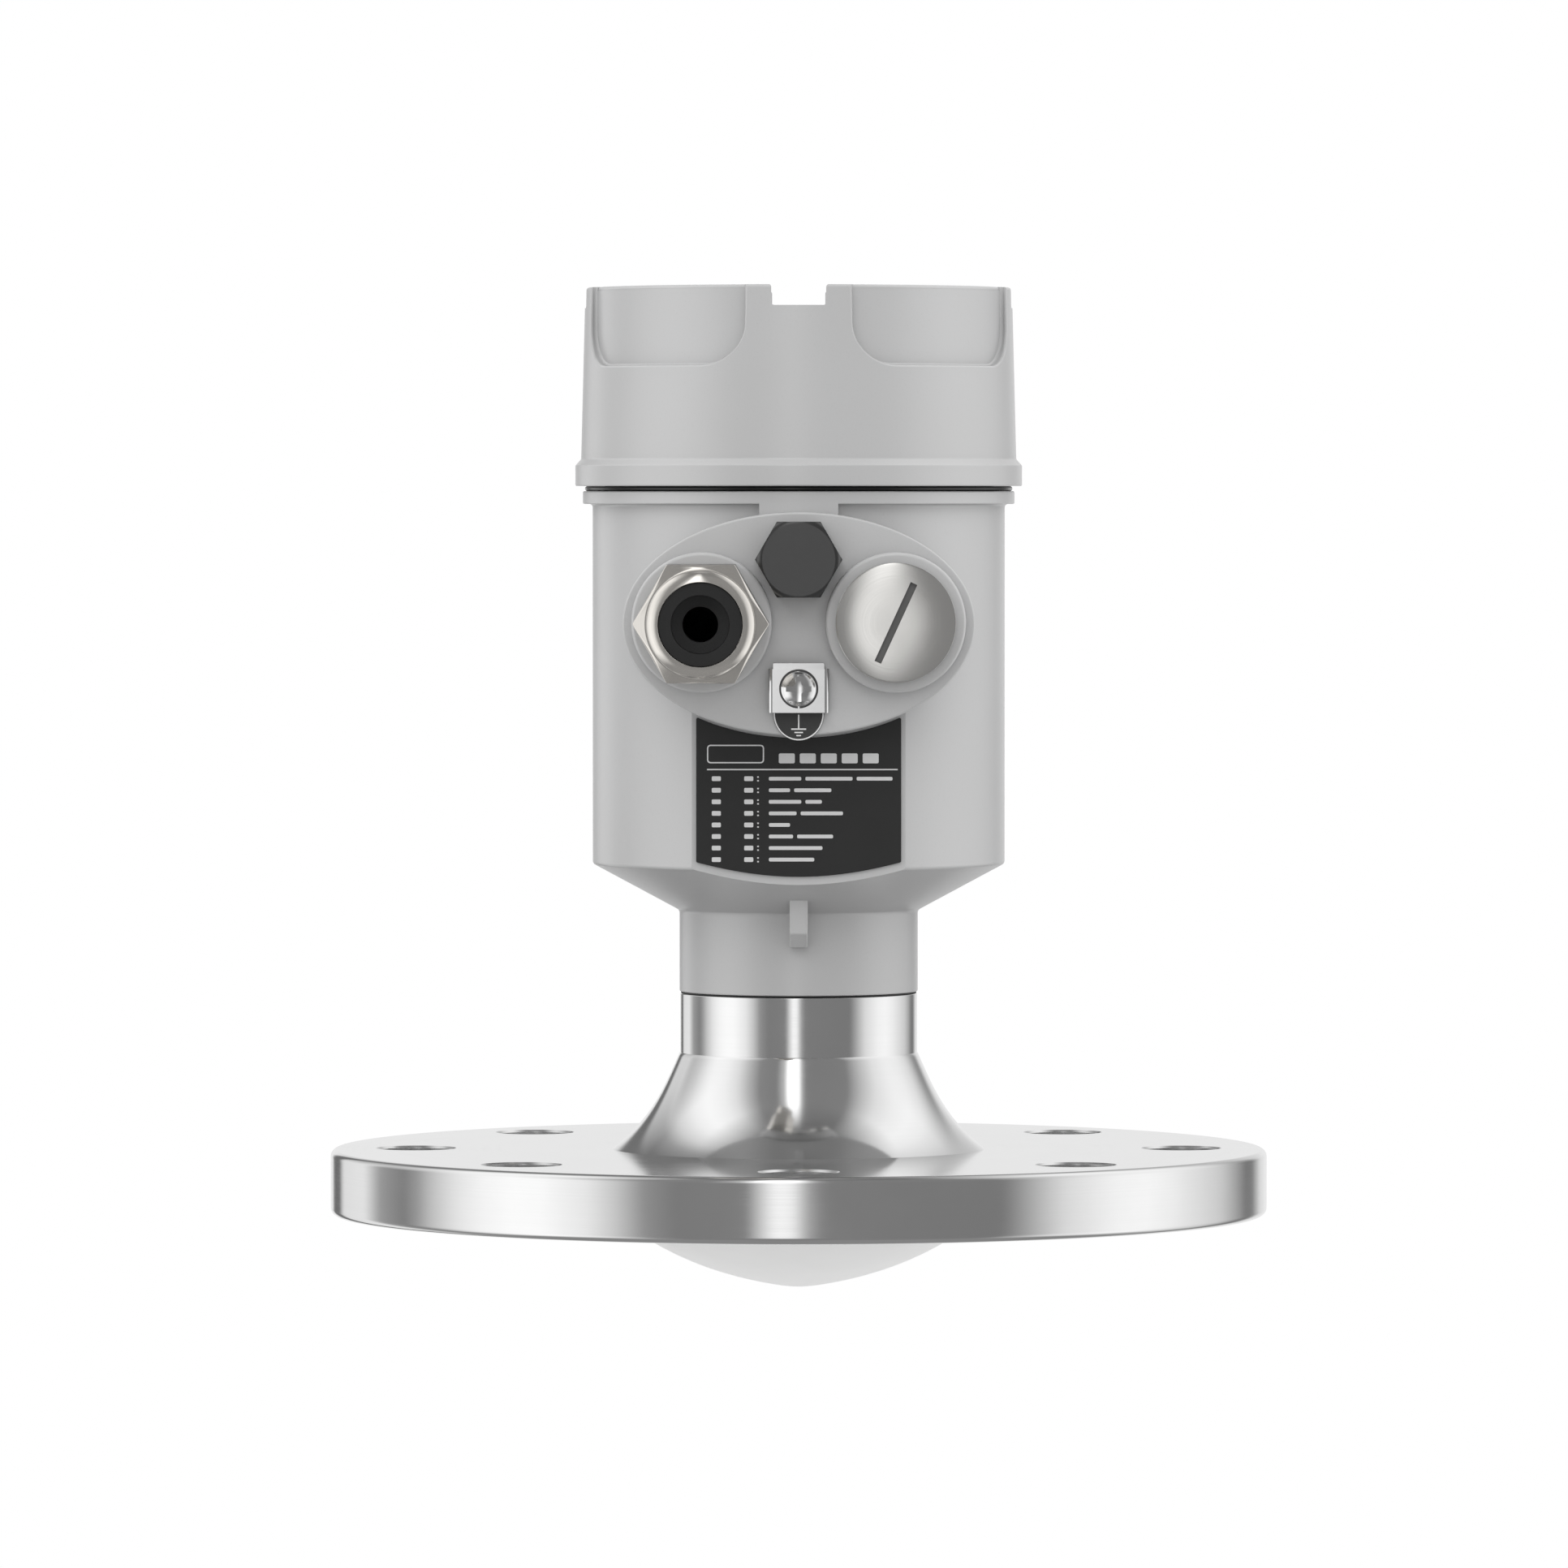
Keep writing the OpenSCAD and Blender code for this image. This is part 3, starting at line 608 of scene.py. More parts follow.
def slot_cutter(w=6.35, z=212.7, e=0.6):
    right = [(w, LID_TOP - e)]
    right += [(w + e - e * math.cos(math.radians(a)), LID_TOP - e + e * math.sin(math.radians(a)), None) for a in (12, 24, 36, 48, 60, 72)]
    x, y, _ = right[-1]
    right += [(x + 1.0 * math.sin(math.radians(72)), y + 1.0 * math.cos(math.radians(72))), (x + 1.0 * math.sin(math.radians(72)), LID_TOP + 3)]
    left = [(-p[0],) + tuple(p[1:]) for p in reversed(right)]
    return [(-w, z, 0.7), (w, z, 0.7)] + right + left


def make_lid():
    body = revolve([(0, 206), (40, 206, 1.0), (43.4, 203, 1.0), (43.4, 188, 0.5), (46.85, 187), (46.85, LID_Z, 0.35), (52.45, LID_Z, 0.35),
                    (52.45, 175.8, 0.4), (51.1, 177.3, 0.8), (50.2, 212.7, None), (50.1, LID_TOP, 0.7), (43.0, LID_TOP, 0.6), (41.7, 212.2, 0.8),
                    (0, 212.2)], n=240, k=6)
    ops = [("-", pocket_cutter(a)) for a in (45, 135, 225, 315)]
    s = prism(slot_cutter(), -70, 70, k=5)
    ops += [("-", s.at(turn(a) @ front())) for a in (0, 90)]
    return carve(body, *ops)


def ring(ri, ro, z0, z1, r=0.4, n=160, k=5):
    return revolve([(ri, z0, r), (ro, z0, r), (ro, z1, r), (ri, z1, r)], n=n, k=k)


# ------------------------------------------------------------ cable gland
def turned_hex(af, z0, z1, c0, c1, r=0.3, wide=2.6):
    q = af / 2 - 0.2
    mill = [(0, z0), (q, z0, 0.15), (q + wide, z0 + c0), (q + wide, z1 - c1), (q, z1, 0.15), (0, z1)]
    return carve(prism(ngon(af, r=r), z0 - 0.5, z1 + 0.5, k=6), ("*", revolve(mill, n=144)))


def flared_bore(r, z0, z1, lip=0.35, n=128):
    """What is cut away by a bore whose mouth at z1 is rounded by lip."""
    p = [(0, z0), (r, z0), (r, z1 - lip)]
    p += [(r + lip - lip * math.cos(t), z1 - lip + lip * math.sin(t), None) for t in [math.radians(x) for x in (15, 30, 45, 60, 75)]]
    p += [(r + lip + 0.3, z1 + 0.12), (r + lip + 0.3, z1 + 2), (0, z1 + 2)]
    return p


def make_gland_body():
    shank = rod(9.92, 45.5, 60, 0.6, 0, n=96)
    tube = rod(11.0, 60, 80.4, 0, 0.5, n=128)
    return carve(turned_hex(27, 58, 66.5, 0.9, 0.9), ("+", shank), ("+", tube), ("+", thread(11.68, 0.68, 1.5, 66.9, 79.9, None, n=128)),
                 ("-", rod(6.6, 40, 85, n=96)), ("-", rod(10.5, 67.5, 85, n=128))).at(front(-ENTRY_X, ENTRY_Z))


def make_gland_nut():
    # the dome's face is one shallow arc from the seal to its shoulder, and the hexagon's front is turned to a cone right up to the dome
    arc = [(8.634 + 4.7 * math.sin(math.radians(a)), 91.37 + 4.7 * math.cos(math.radians(a)), None) for a in range(49, 6, -3)]
    side = [(11.8 + 0.5 * math.sin(math.radians(a)), 94.12 + 0.5 * math.cos(math.radians(a)), None) for a in (90, 80, 70, 60)]
    foot = [(12.68 - 0.38 * math.cos(math.radians(a)), 85.66 - 0.38 * math.sin(math.radians(a)), None) for a in (60, 45, 30, 15, 0)]
    dome = revolve([(0, 80), (12.4, 80)] + foot + side + arc + [(0, 96.1)], n=192, k=12)
    slope = math.radians(26)

    def section(a):
        # the edge between a flat and the cone is rounded, widest at the middle of the flat
        R = hex_radius(a, 27, 0.45)
        u = min(1.0, (R - 13.5) / 1.85)
        q = 0.32 + 0.95 * (1 - u) ** 2
        cone = lambda r: 85.47 - (r - 12.3) * math.tan(slope)
        reach = q * math.tan(math.radians(32))
        r0, z0 = R - q, cone(R) - reach
        arc = [(r0 + q * math.cos(t), z0 + q * math.sin(t)) for t in [(math.pi / 2 - slope) * j / 8 for j in range(9)]]
        return [(0, 67), (12.8, 67), (min(R - 0.4, 13.9), 67), (min(R, 14.3), 67.4), (R, 67.4 + max(0.0, R - 14.3) * 0.6), (R, 76), (R, z0 - 0.2)] + arc + [
            (12.75, cone(12.75)), (12.3, cone(12.3)), (0, cone(12.3))]
    hexa = changing(hex_angles(), section)
    bore = [(0, 60), (12.6, 60), (12, 67.8), (12, 84), (9.62, 91.6, 0.5), (9.62, 95.82)] + [
        (9.72 - 0.1 * math.cos(math.radians(a)), 95.82 + 0.12 * math.sin(math.radians(a)), None) for a in (20, 45, 70)] + [(9.9, 96.2), (9.9, 97), (0, 97)]
    return carve(hexa, ("+", dome), ("-", revolve(bore, n=160))).at(front(-ENTRY_X, ENTRY_Z))


def make_gland_seal():
    return revolve([(4, 68, 0.2), (9.52, 68, 0.5), (9.52, 95.5, 0.12), (6.65, 95.5, 0.15), (6.6, 92.9, 0.25), (4, 91.7, 0.3)], n=144, k=4).at(
        front(-ENTRY_X, ENTRY_Z))


# ------------------------------------------------------------ blind plug
def make_plug():
    pts = [(0, 57.5), (9.0, 57.5), (9.0, 58), (13.8, 58, 0.2), (13.8, 60.87, 0.07)]
    pts += [(13.72 * (1 - i / 40), 61.6 - 0.68 * (1 - i / 40) ** 3.6, None if i < 40 else 0) for i in range(41)]
    head = revolve(pts, n=192).at(shift(0, 0, 60) @ turn(-0.5, "Y") @ shift(0, 0, -60))
    # the slot's faces take the second material, a dark grey of painted shade
    slot = prism(rect(-0.83, -9.95, 0.83, 9.95, 0.04), 60.6, 66, m=1).at(turn(-24.7))
    return carve(head, ("+", rod(9.1, 47.5, 57.8, 0.5, 0, n=96)), ("+", thread(9.85, 0.75, 1.5, 47.9, 57.4, None, n=128)), ("-", slot),
                 ("-", rod(7, 40, 55, n=72))).at(front(ENTRY_X, ENTRY_Z))


# ------------------------------------------------------------ vent plug
def make_vent():
    crown = [(8.134 + 1.91 * math.sin(math.radians(a)), 59.109 + 1.91 * math.cos(math.radians(a)), None) for a in range(78, 8, -5)]
    mill = [(0, 53.8), (8.5, 53.8, 0.1), (11.1, 54.1), (11.1, 59.2)] + crown + [(8.4, 61.0), (0, 61)]
    hexa = carve(prism(ngon(17.4, r=0.12), 53.2, 62, k=4), ("*", revolve(mill, n=128)))
    return carve(hexa, ("+", rod(5.1, 46, 54.5, 0.4, 0, n=64)), ("+", thread(5.85, 0.75, 1.5, 46.3, 53.5, None, n=96)), ("-", rod(3.2, 40, 57, n=48)),
                 ("-", prism(rect(-12, -0.7, 12, 0.7, 0.2), 55.0, 56.2, top=0.15, bottom=0.15))).at(front(0, VENT_Z))


# ------------------------------------------------------------ ground terminal
def make_clamp():
    cee = [(-7.0, 53.7, 0.15), (-6.05, 53.7, 0.15), (-6.05, 55.6, 0.2), (6.05, 55.6, 0.2), (6.05, 53.7, 0.15), (7.0, 53.7, 0.15), (7.0, 56.6, 1.05),
           (-7.0, 56.6, 1.05)]
    m = Matrix(((1, 0, 0, 0), (0, -1, 0, 0), (0, 0, -1, 0), (0, 0, 0, 1)))
    z = GROUND_Z
    body = prism(cee, -(z + 4.6), -(z - 5.6), top=0.12, bottom=0.12, k=8, kr=3).at(m)
    plate = prism(rect(-6.0, z - 5.595, 6.0, z + 5.9, 0.25), 55.6, 56.598, top=0.13, bottom=0.1, kr=3).at(front())
    return carve(body, ("+", plate), ("-", revolve(flared_bore(2.2, 50, 56.6, 0.15), n=64).at(front(0, z))))


def make_lock_washer():
    r = ring(2.2, 4.5, 56.62, 57.5, 0.18, n=96)
    cut = prism(rect(1.5, -0.2, 6, 0.2), 56, 58).at(turn(-90))
    return carve(r, ("-", cut)).at(front(0, GROUND_Z))


def phillips():
    """A cross recess whose floor is a shallow bowl, with the four inner corners rounded."""
    e, w, q = 3.05, 0.74, 0.62
    cross = prism([(e, -w, 0.12), (e, w, 0.12), (w, w, q), (w, e, 0.12), (-w, e, 0.12), (-w, w, q), (-e, w, 0.12), (-e, -w, 0.12), (-w, -w, q),
                   (-w, -e, 0.12), (w, -e, 0.12), (w, -w, q)], 57.9, 61.5, k=6, draft=-0.05)
    bowl = revolve([(0, 58.3)] + [(0.2 * i, 58.3 + 0.055 * (0.2 * i) ** 2, None) for i in range(1, 19)] + [(3.6, 62), (0, 62)], n=72)
    return carve(cross, ("*", bowl))


def make_ground_screw():
    head = [(0, 57.2), (1.8, 57.2), (1.8, 57.52), (4.05, 57.52, 0.15), (4.05, 58.25, 0.1)]
    head[-1] = (4.03, 58.2, 0.06)
    head += [(5.3 * math.sin(math.radians(a)), 54.7 + 5.3 * math.cos(math.radians(a)), None) for a in range(48, 0, -4)] + [(0, 60.0)]
    return carve(revolve(head, n=96), ("+", rod(1.55, 46.2, 57.4, 0.3, 0, n=48)), ("+", thread(1.9, 0.38, 0.7, 46.4, 57.0, None, n=48, per=6)),
                 ("-", phillips())).at(front(0, GROUND_Z))


def ellipse_nodes(a, b, cx, cy, n, t0=0.0, t1=360.0):
    out = []
    for i in range(n + 1):
        t = math.radians(t0 + (t1 - t0) * i / n)
        out.append((cx + a * math.cos(t), cy + b * math.sin(t), None))
    return out


def tag_outline(d):
    return [(5.85 - d, 129 - d, 0.3), (-5.85 + d, 129 - d, 0.3), (-5.85 + d, 118.9)] + [
        (x, y, q) for x, y, q in ellipse_nodes(5.85 - d, 6.2 - d, 0, 118.6, 36, 182, 358)] + [(5.85 - d, 118.9)]


def make_tag():
    h = BOSS_H
    base = prism(tag_outline(0), h + 0.02, h + 0.52, top=0.08, bottom=0.0, kr=2)
    rim = carve(prism(tag_outline(0.08), h + 0.2, h + 0.545, m=1), ("-", prism(tag_outline(0.37), h, h + 1, m=1)))
    ops = [("+", rim)]
    bars = [(-0.16, 115.0, 0.16, 118.4), (-1.72, 114.9, 1.72, 115.22), (-0.98, 114.14, 0.98, 114.44), (-0.55, 113.44, 0.55, 113.72)]
    for q in bars:
        ops.append(("+", prism(rect(*q, 0.04), h + 0.2, h + 0.545, m=1)))
    ops.append(("-", rod(2.3, 50, 60, n=48).at(shift(0, GROUND_Z, 0))))
    return carve(base, *ops).at(front())


NP_W = 23.7


def plate_outline(d=0.0, n=36):
    w = NP_W - d
    top = [(w - 2 * w * i / n) for i in range(n + 1)]
    pts = []
    for i, x in enumerate(top):
        z = BOSS_Z - BOSS_B * math.sqrt(1 - (x / BOSS_A) ** 2) - 0.85 - d
        pts.append((x, z, 0.35 if i in (0, n) else None))
    for i, x in enumerate(reversed(top)):
        pts.append((x, funnel_z(math.hypot(PAD_H, x)) + 1.9 + d, 0.35 if i in (0, n) else None))
    return pts


def make_nameplate():
    z0, z1 = PAD_H + 0.02, PAD_H + 0.72
    base = prism(plate_outline(), z0, z1, top=0.12, kr=3)
    ops = []

    def bar(x0, y0, x1, y1, r=0.1, up=0.03):
        ops.append(("+", prism(rect(x0, y0, x1, y1, r), z1 - 0.3, z1 + up, m=1)))

    bar(-21.2, 105.32, 22.9, 105.62, 0.05)
    # blank fields: two short label marks, a colon of two dots and a row of plain strokes
    words = [[7.5, 10.9, 8.3], [4.9, 8.6], [7.5, 3.8], [6.4, 9.8], [4.9], [5.6, 8.3], [12.4], [10.5]]
    for i, ws in enumerate(words):
        z = 103.35 - 2.675 * i
        bar(-20.1, z - 0.54, -18.0, z + 0.54, 0.25)
        bar(-12.6, z - 0.54, -10.5, z + 0.54, 0.25)
        bar(-9.6, z + 0.22, -9.2, z + 0.56, 0.1)
        bar(-9.6, z - 0.64, -9.2, z - 0.3, 0.1)
        x = -6.9
        for w in ws:
            bar(x, z - 0.43, x + w, z + 0.43, 0.3)
            x += w + 0.95
    # an empty framed field where a maker would put its own mark, and a plain title of five blocks
    a = (-21.2, 106.9, -8.0, 111.2)
    ops.append(("+", carve(prism(rect(*a, 0.8), z1 - 0.3, z1 + 0.03, m=1),
                           ("-", prism(rect(a[0] + 0.3, a[1] + 0.3, a[2] - 0.3, a[3] - 0.3, 0.55), z1 - 0.5, z1 + 1, m=1)))))
    for i in range(5):
        bar(-4.6 + 4.85 * i, 106.9, -0.9 + 4.85 * i, 109.2, 0.35)
    return carve(base, *ops).at(front())


def make_lock_screw():
    s = rod(2.42, 0, 5, 0.3, 0.3, n=48)
    return carve(s, ("-", prism(ngon(2.5, r=0.05), 2.6, 6))).at(shift(0, 22.5, 66) @ turn(-90, "X"))


# ---------------------------------------------------------------- materials
class Net:
    """A material's node tree, built a node at a time."""

    def __init__(self, name):
        self.mat = bpy.data.materials.new(name)
        self.mat.use_nodes = True
        self.t = self.mat.node_tree
        self.t.nodes.clear()
        self.out = self.t.nodes.new("ShaderNodeOutputMaterial")
        self.b = self.t.nodes.new("ShaderNodeBsdfPrincipled")
        self.t.links.new(self.b.outputs[0], self.out.inputs[0])
        self.co = self.t.nodes.new("ShaderNodeTexCoord").outputs["Object"]

    def put(self, socket, value):
        if isinstance(value, bpy.types.NodeSocket):
            self.t.links.new(value, socket)
        else:
            socket.default_value = value

    def node(self, kind, out=0, props=None, **inputs):
        n = self.t.nodes.new(kind)
        for k, x in (props or {}).items():
            setattr(n, k, x)
        for k, x in inputs.items():
            k = k.replace("_", " ")
            self.put(n.inputs[int(k[1:])] if k[0] == "i" and k[1:].isdigit() else n.inputs[k], x)
        return n.outputs[out]

    def math(self, op, a, b=0.0, c=None):
        n = self.t.nodes.new("ShaderNodeMath")
        n.operation = op
        for i, x in enumerate((a, b) if c is None else (a, b, c)):
            self.put(n.inputs[i], x)
        return n.outputs[0]

    def noise(self, mm, detail=3.0, rough=0.55, vector=None, dims="3D", out=0):
        return self.node("ShaderNodeTexNoise", out, {"noise_dimensions": dims}, Vector=vector or self.co, Scale=1000.0 / mm, Detail=detail, Roughness=rough)

    def span(self, x, lo, hi, a=0.0, b=1.0):
        """x from a..b to lo..hi."""
        return self.node("ShaderNodeMapRange", 0, None, Value=x, From_Min=a, From_Max=b, To_Min=lo, To_Max=hi)

    def mix(self, f, a, b, blend="MIX"):
        n = self.t.nodes.new("ShaderNodeMix")
        n.data_type, n.blend_type = "RGBA", blend
        self.put(n.inputs[0], f)
        self.put(n.inputs[6], a)
        self.put(n.inputs[7], b)
        return n.outputs[2]

    def bump(self, height, um, normal=None, strength=1.0):
        n = self.t.nodes.new("ShaderNodeBump")
        n.inputs["Strength"].default_value = strength
        n.inputs["Distance"].default_value = um * 1e-6
        self.put(n.inputs["Height"], height)
        if normal:
            self.put(n.inputs["Normal"], normal)
        return n.outputs[0]

    def ring_co(self, x=0.0, z=None):
        """Distance from an axis and height along it, for turned parts: about Z, or about the front axis at (x, z)."""
        s = self.t.nodes.new("ShaderNodeSeparateXYZ")
        self.put(s.inputs[0], self.co)
        a, b, h = s.outputs[0], s.outputs[1], s.outputs[2]
        if z is not None:
            a, b, h = self.math("SUBTRACT", a, x * MM), self.math("SUBTRACT", s.outputs[2], z * MM), s.outputs[1]
        r = self.math("SQRT", self.math("ADD", self.math("MULTIPLY", a, a), self.math("MULTIPLY", b, b)))
        c = self.t.nodes.new("ShaderNodeCombineXYZ")
        self.put(c.inputs[0], r)
        self.put(c.inputs[1], h)
        return c.outputs[0]

    def done(self, colour=None, rough=None, normal=None, **const):
        names = {"metallic": "Metallic", "coat": "Coat Weight", "coat_rough": "Coat Roughness", "spec": "Specular IOR Level", "ior": "IOR",
                 "sss": "Subsurface Weight", "sheen": "Sheen Weight"}
        if colour is not None:
            self.put(self.b.inputs["Base Color"], colour)
        if rough is not None:
            self.put(self.b.inputs["Roughness"], rough)
        if normal is not None:
            self.put(self.b.inputs["Normal"], normal)
        for k, x in const.items():
            self.b.inputs[names[k]].default_value = x
        return self.mat


def grey(v, tint=(1, 1, 1)):
    return (v * tint[0], v * tint[1], v * tint[2], 1)


def paint_material(name, base=0.558):
    n = Net(name)
    tone = n.span(n.noise(38, 2), 0.0, 1.0, 0.3, 0.7)
    col = n.mix(tone, grey(base * 0.985, (1.0, 1.0, 1.0)), grey(base * 1.015, (0.998, 1.0, 1.004)))
    speck = n.span(n.noise(0.35, 2), 0.0, 1.0, 0.55, 0.8)
    col = n.mix(speck, col, grey(base * 0.95))
    peel, fine = n.noise(1.3, 2), n.noise(0.32, 2)
    nm = n.bump(peel, 2.5)
    nm = n.bump(fine, 0.8, nm)
    return n.done(col, n.span(peel, 0.28, 0.34, 0.3, 0.7), nm, ior=2.0)


def turned_metal(name, colour, rough, step_mm=0.35, um=0.25, axis=None, blotch=0.03, tint=(1, 1, 1), metallic=1.0, line=0.7):
    n = Net(name)
    c = n.ring_co(*axis) if axis else n.ring_co()
    groove = n.noise(step_mm, 2, 0.6, vector=c)
    cloud = n.noise(14, 3)
    col = n.mix(n.span(cloud, 0, 1, 0.3, 0.7), grey(colour * (1 - blotch), tint), grey(colour * (1 + blotch), tint))
    col = n.mix(n.span(groove, 0, 0.10, 0.35, 0.7), col, grey(colour * line, tint))
    r = n.math("ADD", n.span(cloud, rough * 0.85, rough * 1.15, 0.3, 0.7), n.span(groove, -rough * 0.15, rough * 0.15, 0.3, 0.7))
    nm = n.bump(groove, um)
    return n.done(col, r, nm, metallic=metallic)


def plain_metal(name, colour, rough, tint=(1, 1, 1), um=0.4, mm=0.5, metallic=1.0):
    n = Net(name)
    cloud, grain = n.noise(5, 3), n.noise(mm, 2)
    col = n.mix(n.span(cloud, 0, 1, 0.3, 0.7), grey(colour * 0.96, tint), grey(colour * 1.04, tint))
    return n.done(col, n.span(cloud, rough * 0.85, rough * 1.2, 0.3, 0.7), n.bump(grain, um), metallic=metallic)


def moulded(name, colour, rough, tint=(1, 1, 1), um=2.0, mm=0.3, spec=0.5, vary=0.06, ior=1.5):
    n = Net(name)
    cloud, grain = n.noise(7, 3), n.noise(mm, 3)
    col = n.mix(n.span(cloud, 0, 1, 0.3, 0.7), grey(colour * (1 - vary), tint), grey(colour * (1 + vary), tint))
    return n.done(col, n.span(grain, rough * 0.88, rough * 1.1, 0.3, 0.7), n.bump(grain, um), spec=spec, ior=ior)


def ptfe_material():
    n = Net("ptfe_white")
    c = n.ring_co()
    groove, cloud = n.noise(0.5, 2, 0.6, vector=c), n.noise(9, 3)
    col = n.mix(n.span(cloud, 0, 1, 0.3, 0.7), (0.94, 0.94, 0.935, 1), (0.965, 0.965, 0.96, 1))
    n.b.inputs["Subsurface Radius"].default_value = (1, 1, 1)
    n.b.inputs["Subsurface Scale"].default_value = 0.0015
    return n.done(col, n.span(groove, 0.34, 0.46, 0.3, 0.7), n.bump(groove, 0.8), sss=0.15, spec=0.4)


def board_material():
    n = Net("circuit_board")
    cells = n.node("ShaderNodeTexVoronoi", 0, {"distance": "CHEBYCHEV"}, Vector=n.co, Scale=520.0)
    track = n.span(cells, 0, 1, 0.30, 0.34)
    pads = n.node("ShaderNodeTexVoronoi", 0, None, Vector=n.co, Scale=330.0)
    pad = n.span(pads, 1, 0, 0.10, 0.13)
    col = n.mix(track, (0.012, 0.11, 0.035, 1), (0.02, 0.17, 0.055, 1))
    col = n.mix(pad, col, (0.62, 0.5, 0.25, 1))
    return n.done(col, n.span(n.noise(0.6), 0.3, 0.42, 0.3, 0.7), n.bump(track, 20), spec=0.5)


M = {
    "paint": paint_material("housing_paint"),
    "steel": turned_metal("stainless_steel", 0.86, 0.11, um=0.10, blotch=0.015, line=0.9),
    "bore": plain_metal("drilled_steel", 0.82, 0.22, um=0.1),
    "nickel": turned_metal("nickel_plate", 0.82, 0.075, 0.25, 0.05, axis=(-ENTRY_X, ENTRY_Z), tint=(1.0, 0.962, 0.905), metallic=0.9),
    "satin": turned_metal("nickel_satin", 0.80, 0.17, 0.22, 0.006, axis=(ENTRY_X, ENTRY_Z), tint=(1.0, 0.988, 0.96), metallic=0.95, blotch=0.01, line=0.99),
    # the plug's slot walls and floor: a dark matt grey that is painted shade, not the plug's own plated metal
    "slot": plain_metal("slot_painted_shade", 0.17, 0.6, tint=(1.0, 0.995, 0.98), um=1.5, metallic=0.0),
    "zinc": plain_metal("zinc_sheet", 0.87, 0.13, um=0.06),
    "screw": plain_metal("zinc_screw", 0.84, 0.11, um=0.06),
    # dark spring steel: the retaining ring's own colour, and on the split washer painted shade round the screw head
    "spring": plain_metal("spring_steel", 0.13, 0.34),
    "rubber": moulded("black_rubber", 0.016, 0.5, um=3, mm=0.4, spec=0.4),
    "oring": moulded("oring_rubber", 0.012, 0.2, um=0.3, mm=0.5, spec=0.6),
    "seal": moulded("seal_rubber", 0.021, 0.62, um=3, mm=0.4, spec=0.35),
    "vent": moulded("vent_plastic", 0.020, 0.24, um=0.25, mm=0.35, ior=1.85),
    "plastic": moulded("dark_plastic", 0.03, 0.45, um=3, mm=0.4),
    "green": moulded("green_plastic", 0.22, 0.42, tint=(0.25, 1.0, 0.45), um=2.5),
    "nylon": moulded("natural_nylon", 0.72, 0.45, tint=(1.0, 0.98, 0.9), um=2),
    "membrane": moulded("membrane", 0.75, 0.8, um=6, mm=0.2),
    "jacket": moulded("cable_jacket", 0.045, 0.5, um=4, mm=0.6),
    "brass": plain_metal("feed_brass", 0.78, 0.22, tint=(1.0, 0.80, 0.45)),
    "ptfe": ptfe_material(),
    "board": board_material(),
    "plate": moulded("nameplate_black", 0.026, 0.48, um=0.8, mm=0.2, spec=0.4, vary=0.04),
    "ink": moulded("white_print", 0.72, 0.5, um=0.6, mm=0.2, vary=0.03),
    "tag": moulded("tag_black", 0.055, 0.5, um=0.8, mm=0.2, spec=0.4, vary=0.04),
    "tagink": moulded("tag_print", 0.93, 0.5, um=0.6, mm=0.2, vary=0.02),
}

# ---------------------------------------------------------------- the pieces
ROOT, HOUSE = "process_connection", "housing_assembly"
piece("bolting_flange", make_flange(), [M["steel"], M["bore"]], ROOT, ["flange"])
piece("neck_flare", make_neck(), [M["steel"]], ROOT, ["antenna_neck"])
piece("lens", make_lens(), [M["ptfe"]], ROOT, ["lens_antenna"])
piece("neck_gasket", ring(22.12, 27.68, NECK_Z + 0.02, 52.28, 0.12, n=192, k=4), [M["rubber"]], ROOT, ["neck_seal"])
piece("housing_shell", make_housing(), [M["paint"]], HOUSE, ["housing"])
piece("rear_lock_screw", make_lock_screw(), [M["screw"]], HOUSE, ["swivel_lock_screw"])
piece("type_plate", make_nameplate(), [M["plate"], M["ink"]], HOUSE, ["nameplate"])
piece("earth_tag", make_tag(), [M["tag"], M["tagink"]], HOUSE, ["ground_tag"])
piece("gland_base", make_gland_body(), [M["nickel"]], HOUSE, ["gland_body"])
piece("gland_face_ring", ring(10.05, 12.7, 57.02, 57.98, 0.4, n=128).at(front(-ENTRY_X, ENTRY_Z)), [M["rubber"]], HOUSE, ["gland_oring"])
piece("gland_dome_nut", make_gland_nut(), [M["nickel"]], "gland_cap", ["gland_nut"])
piece("gland_insert_seal", make_gland_seal(), [M["seal"]], "gland_insert", ["gland_seal"])
piece("plug_head", make_plug(), [M["satin"], M["slot"]], "plug", ["blind_plug"])
piece("plug_ring", ring(10.05, 12.6, 57.02, 57.98, 0.4, n=128).at(front(ENTRY_X, ENTRY_Z)), [M["rubber"]], "plug_seal_ring", ["blind_plug_oring"])
piece("vent_hex", make_vent(), [M["vent"]], "vent", ["vent_plug"])
piece("vent_ring", ring(6.1, 8.0, 53.02, 53.78, 0.3, n=96).at(front(0, VENT_Z)), [M["rubber"]], "vent_seal_ring", ["vent_oring"])
piece("saddle_clamp", make_clamp(), [M["zinc"]], "ground_saddle", ["ground_clamp"])
# the split washer's near-black colour is painted shade, not its own colour
piece("split_washer", make_lock_washer(), [M["spring"]], "ground_saddle", ["ground_lock_washer"])
piece("cross_screw", make_ground_screw(), [M["screw"]], "ground_bolt", ["ground_screw"])
piece("lid_shell", make_lid(), [M["paint"]], "lid_cover", ["lid"])
piece("lid_ring", ring(46.95, 50.2, 169.82, 170.98, 0.57, n=240, k=8), [M["oring"]], "lid_seal_ring", ["lid_oring"])

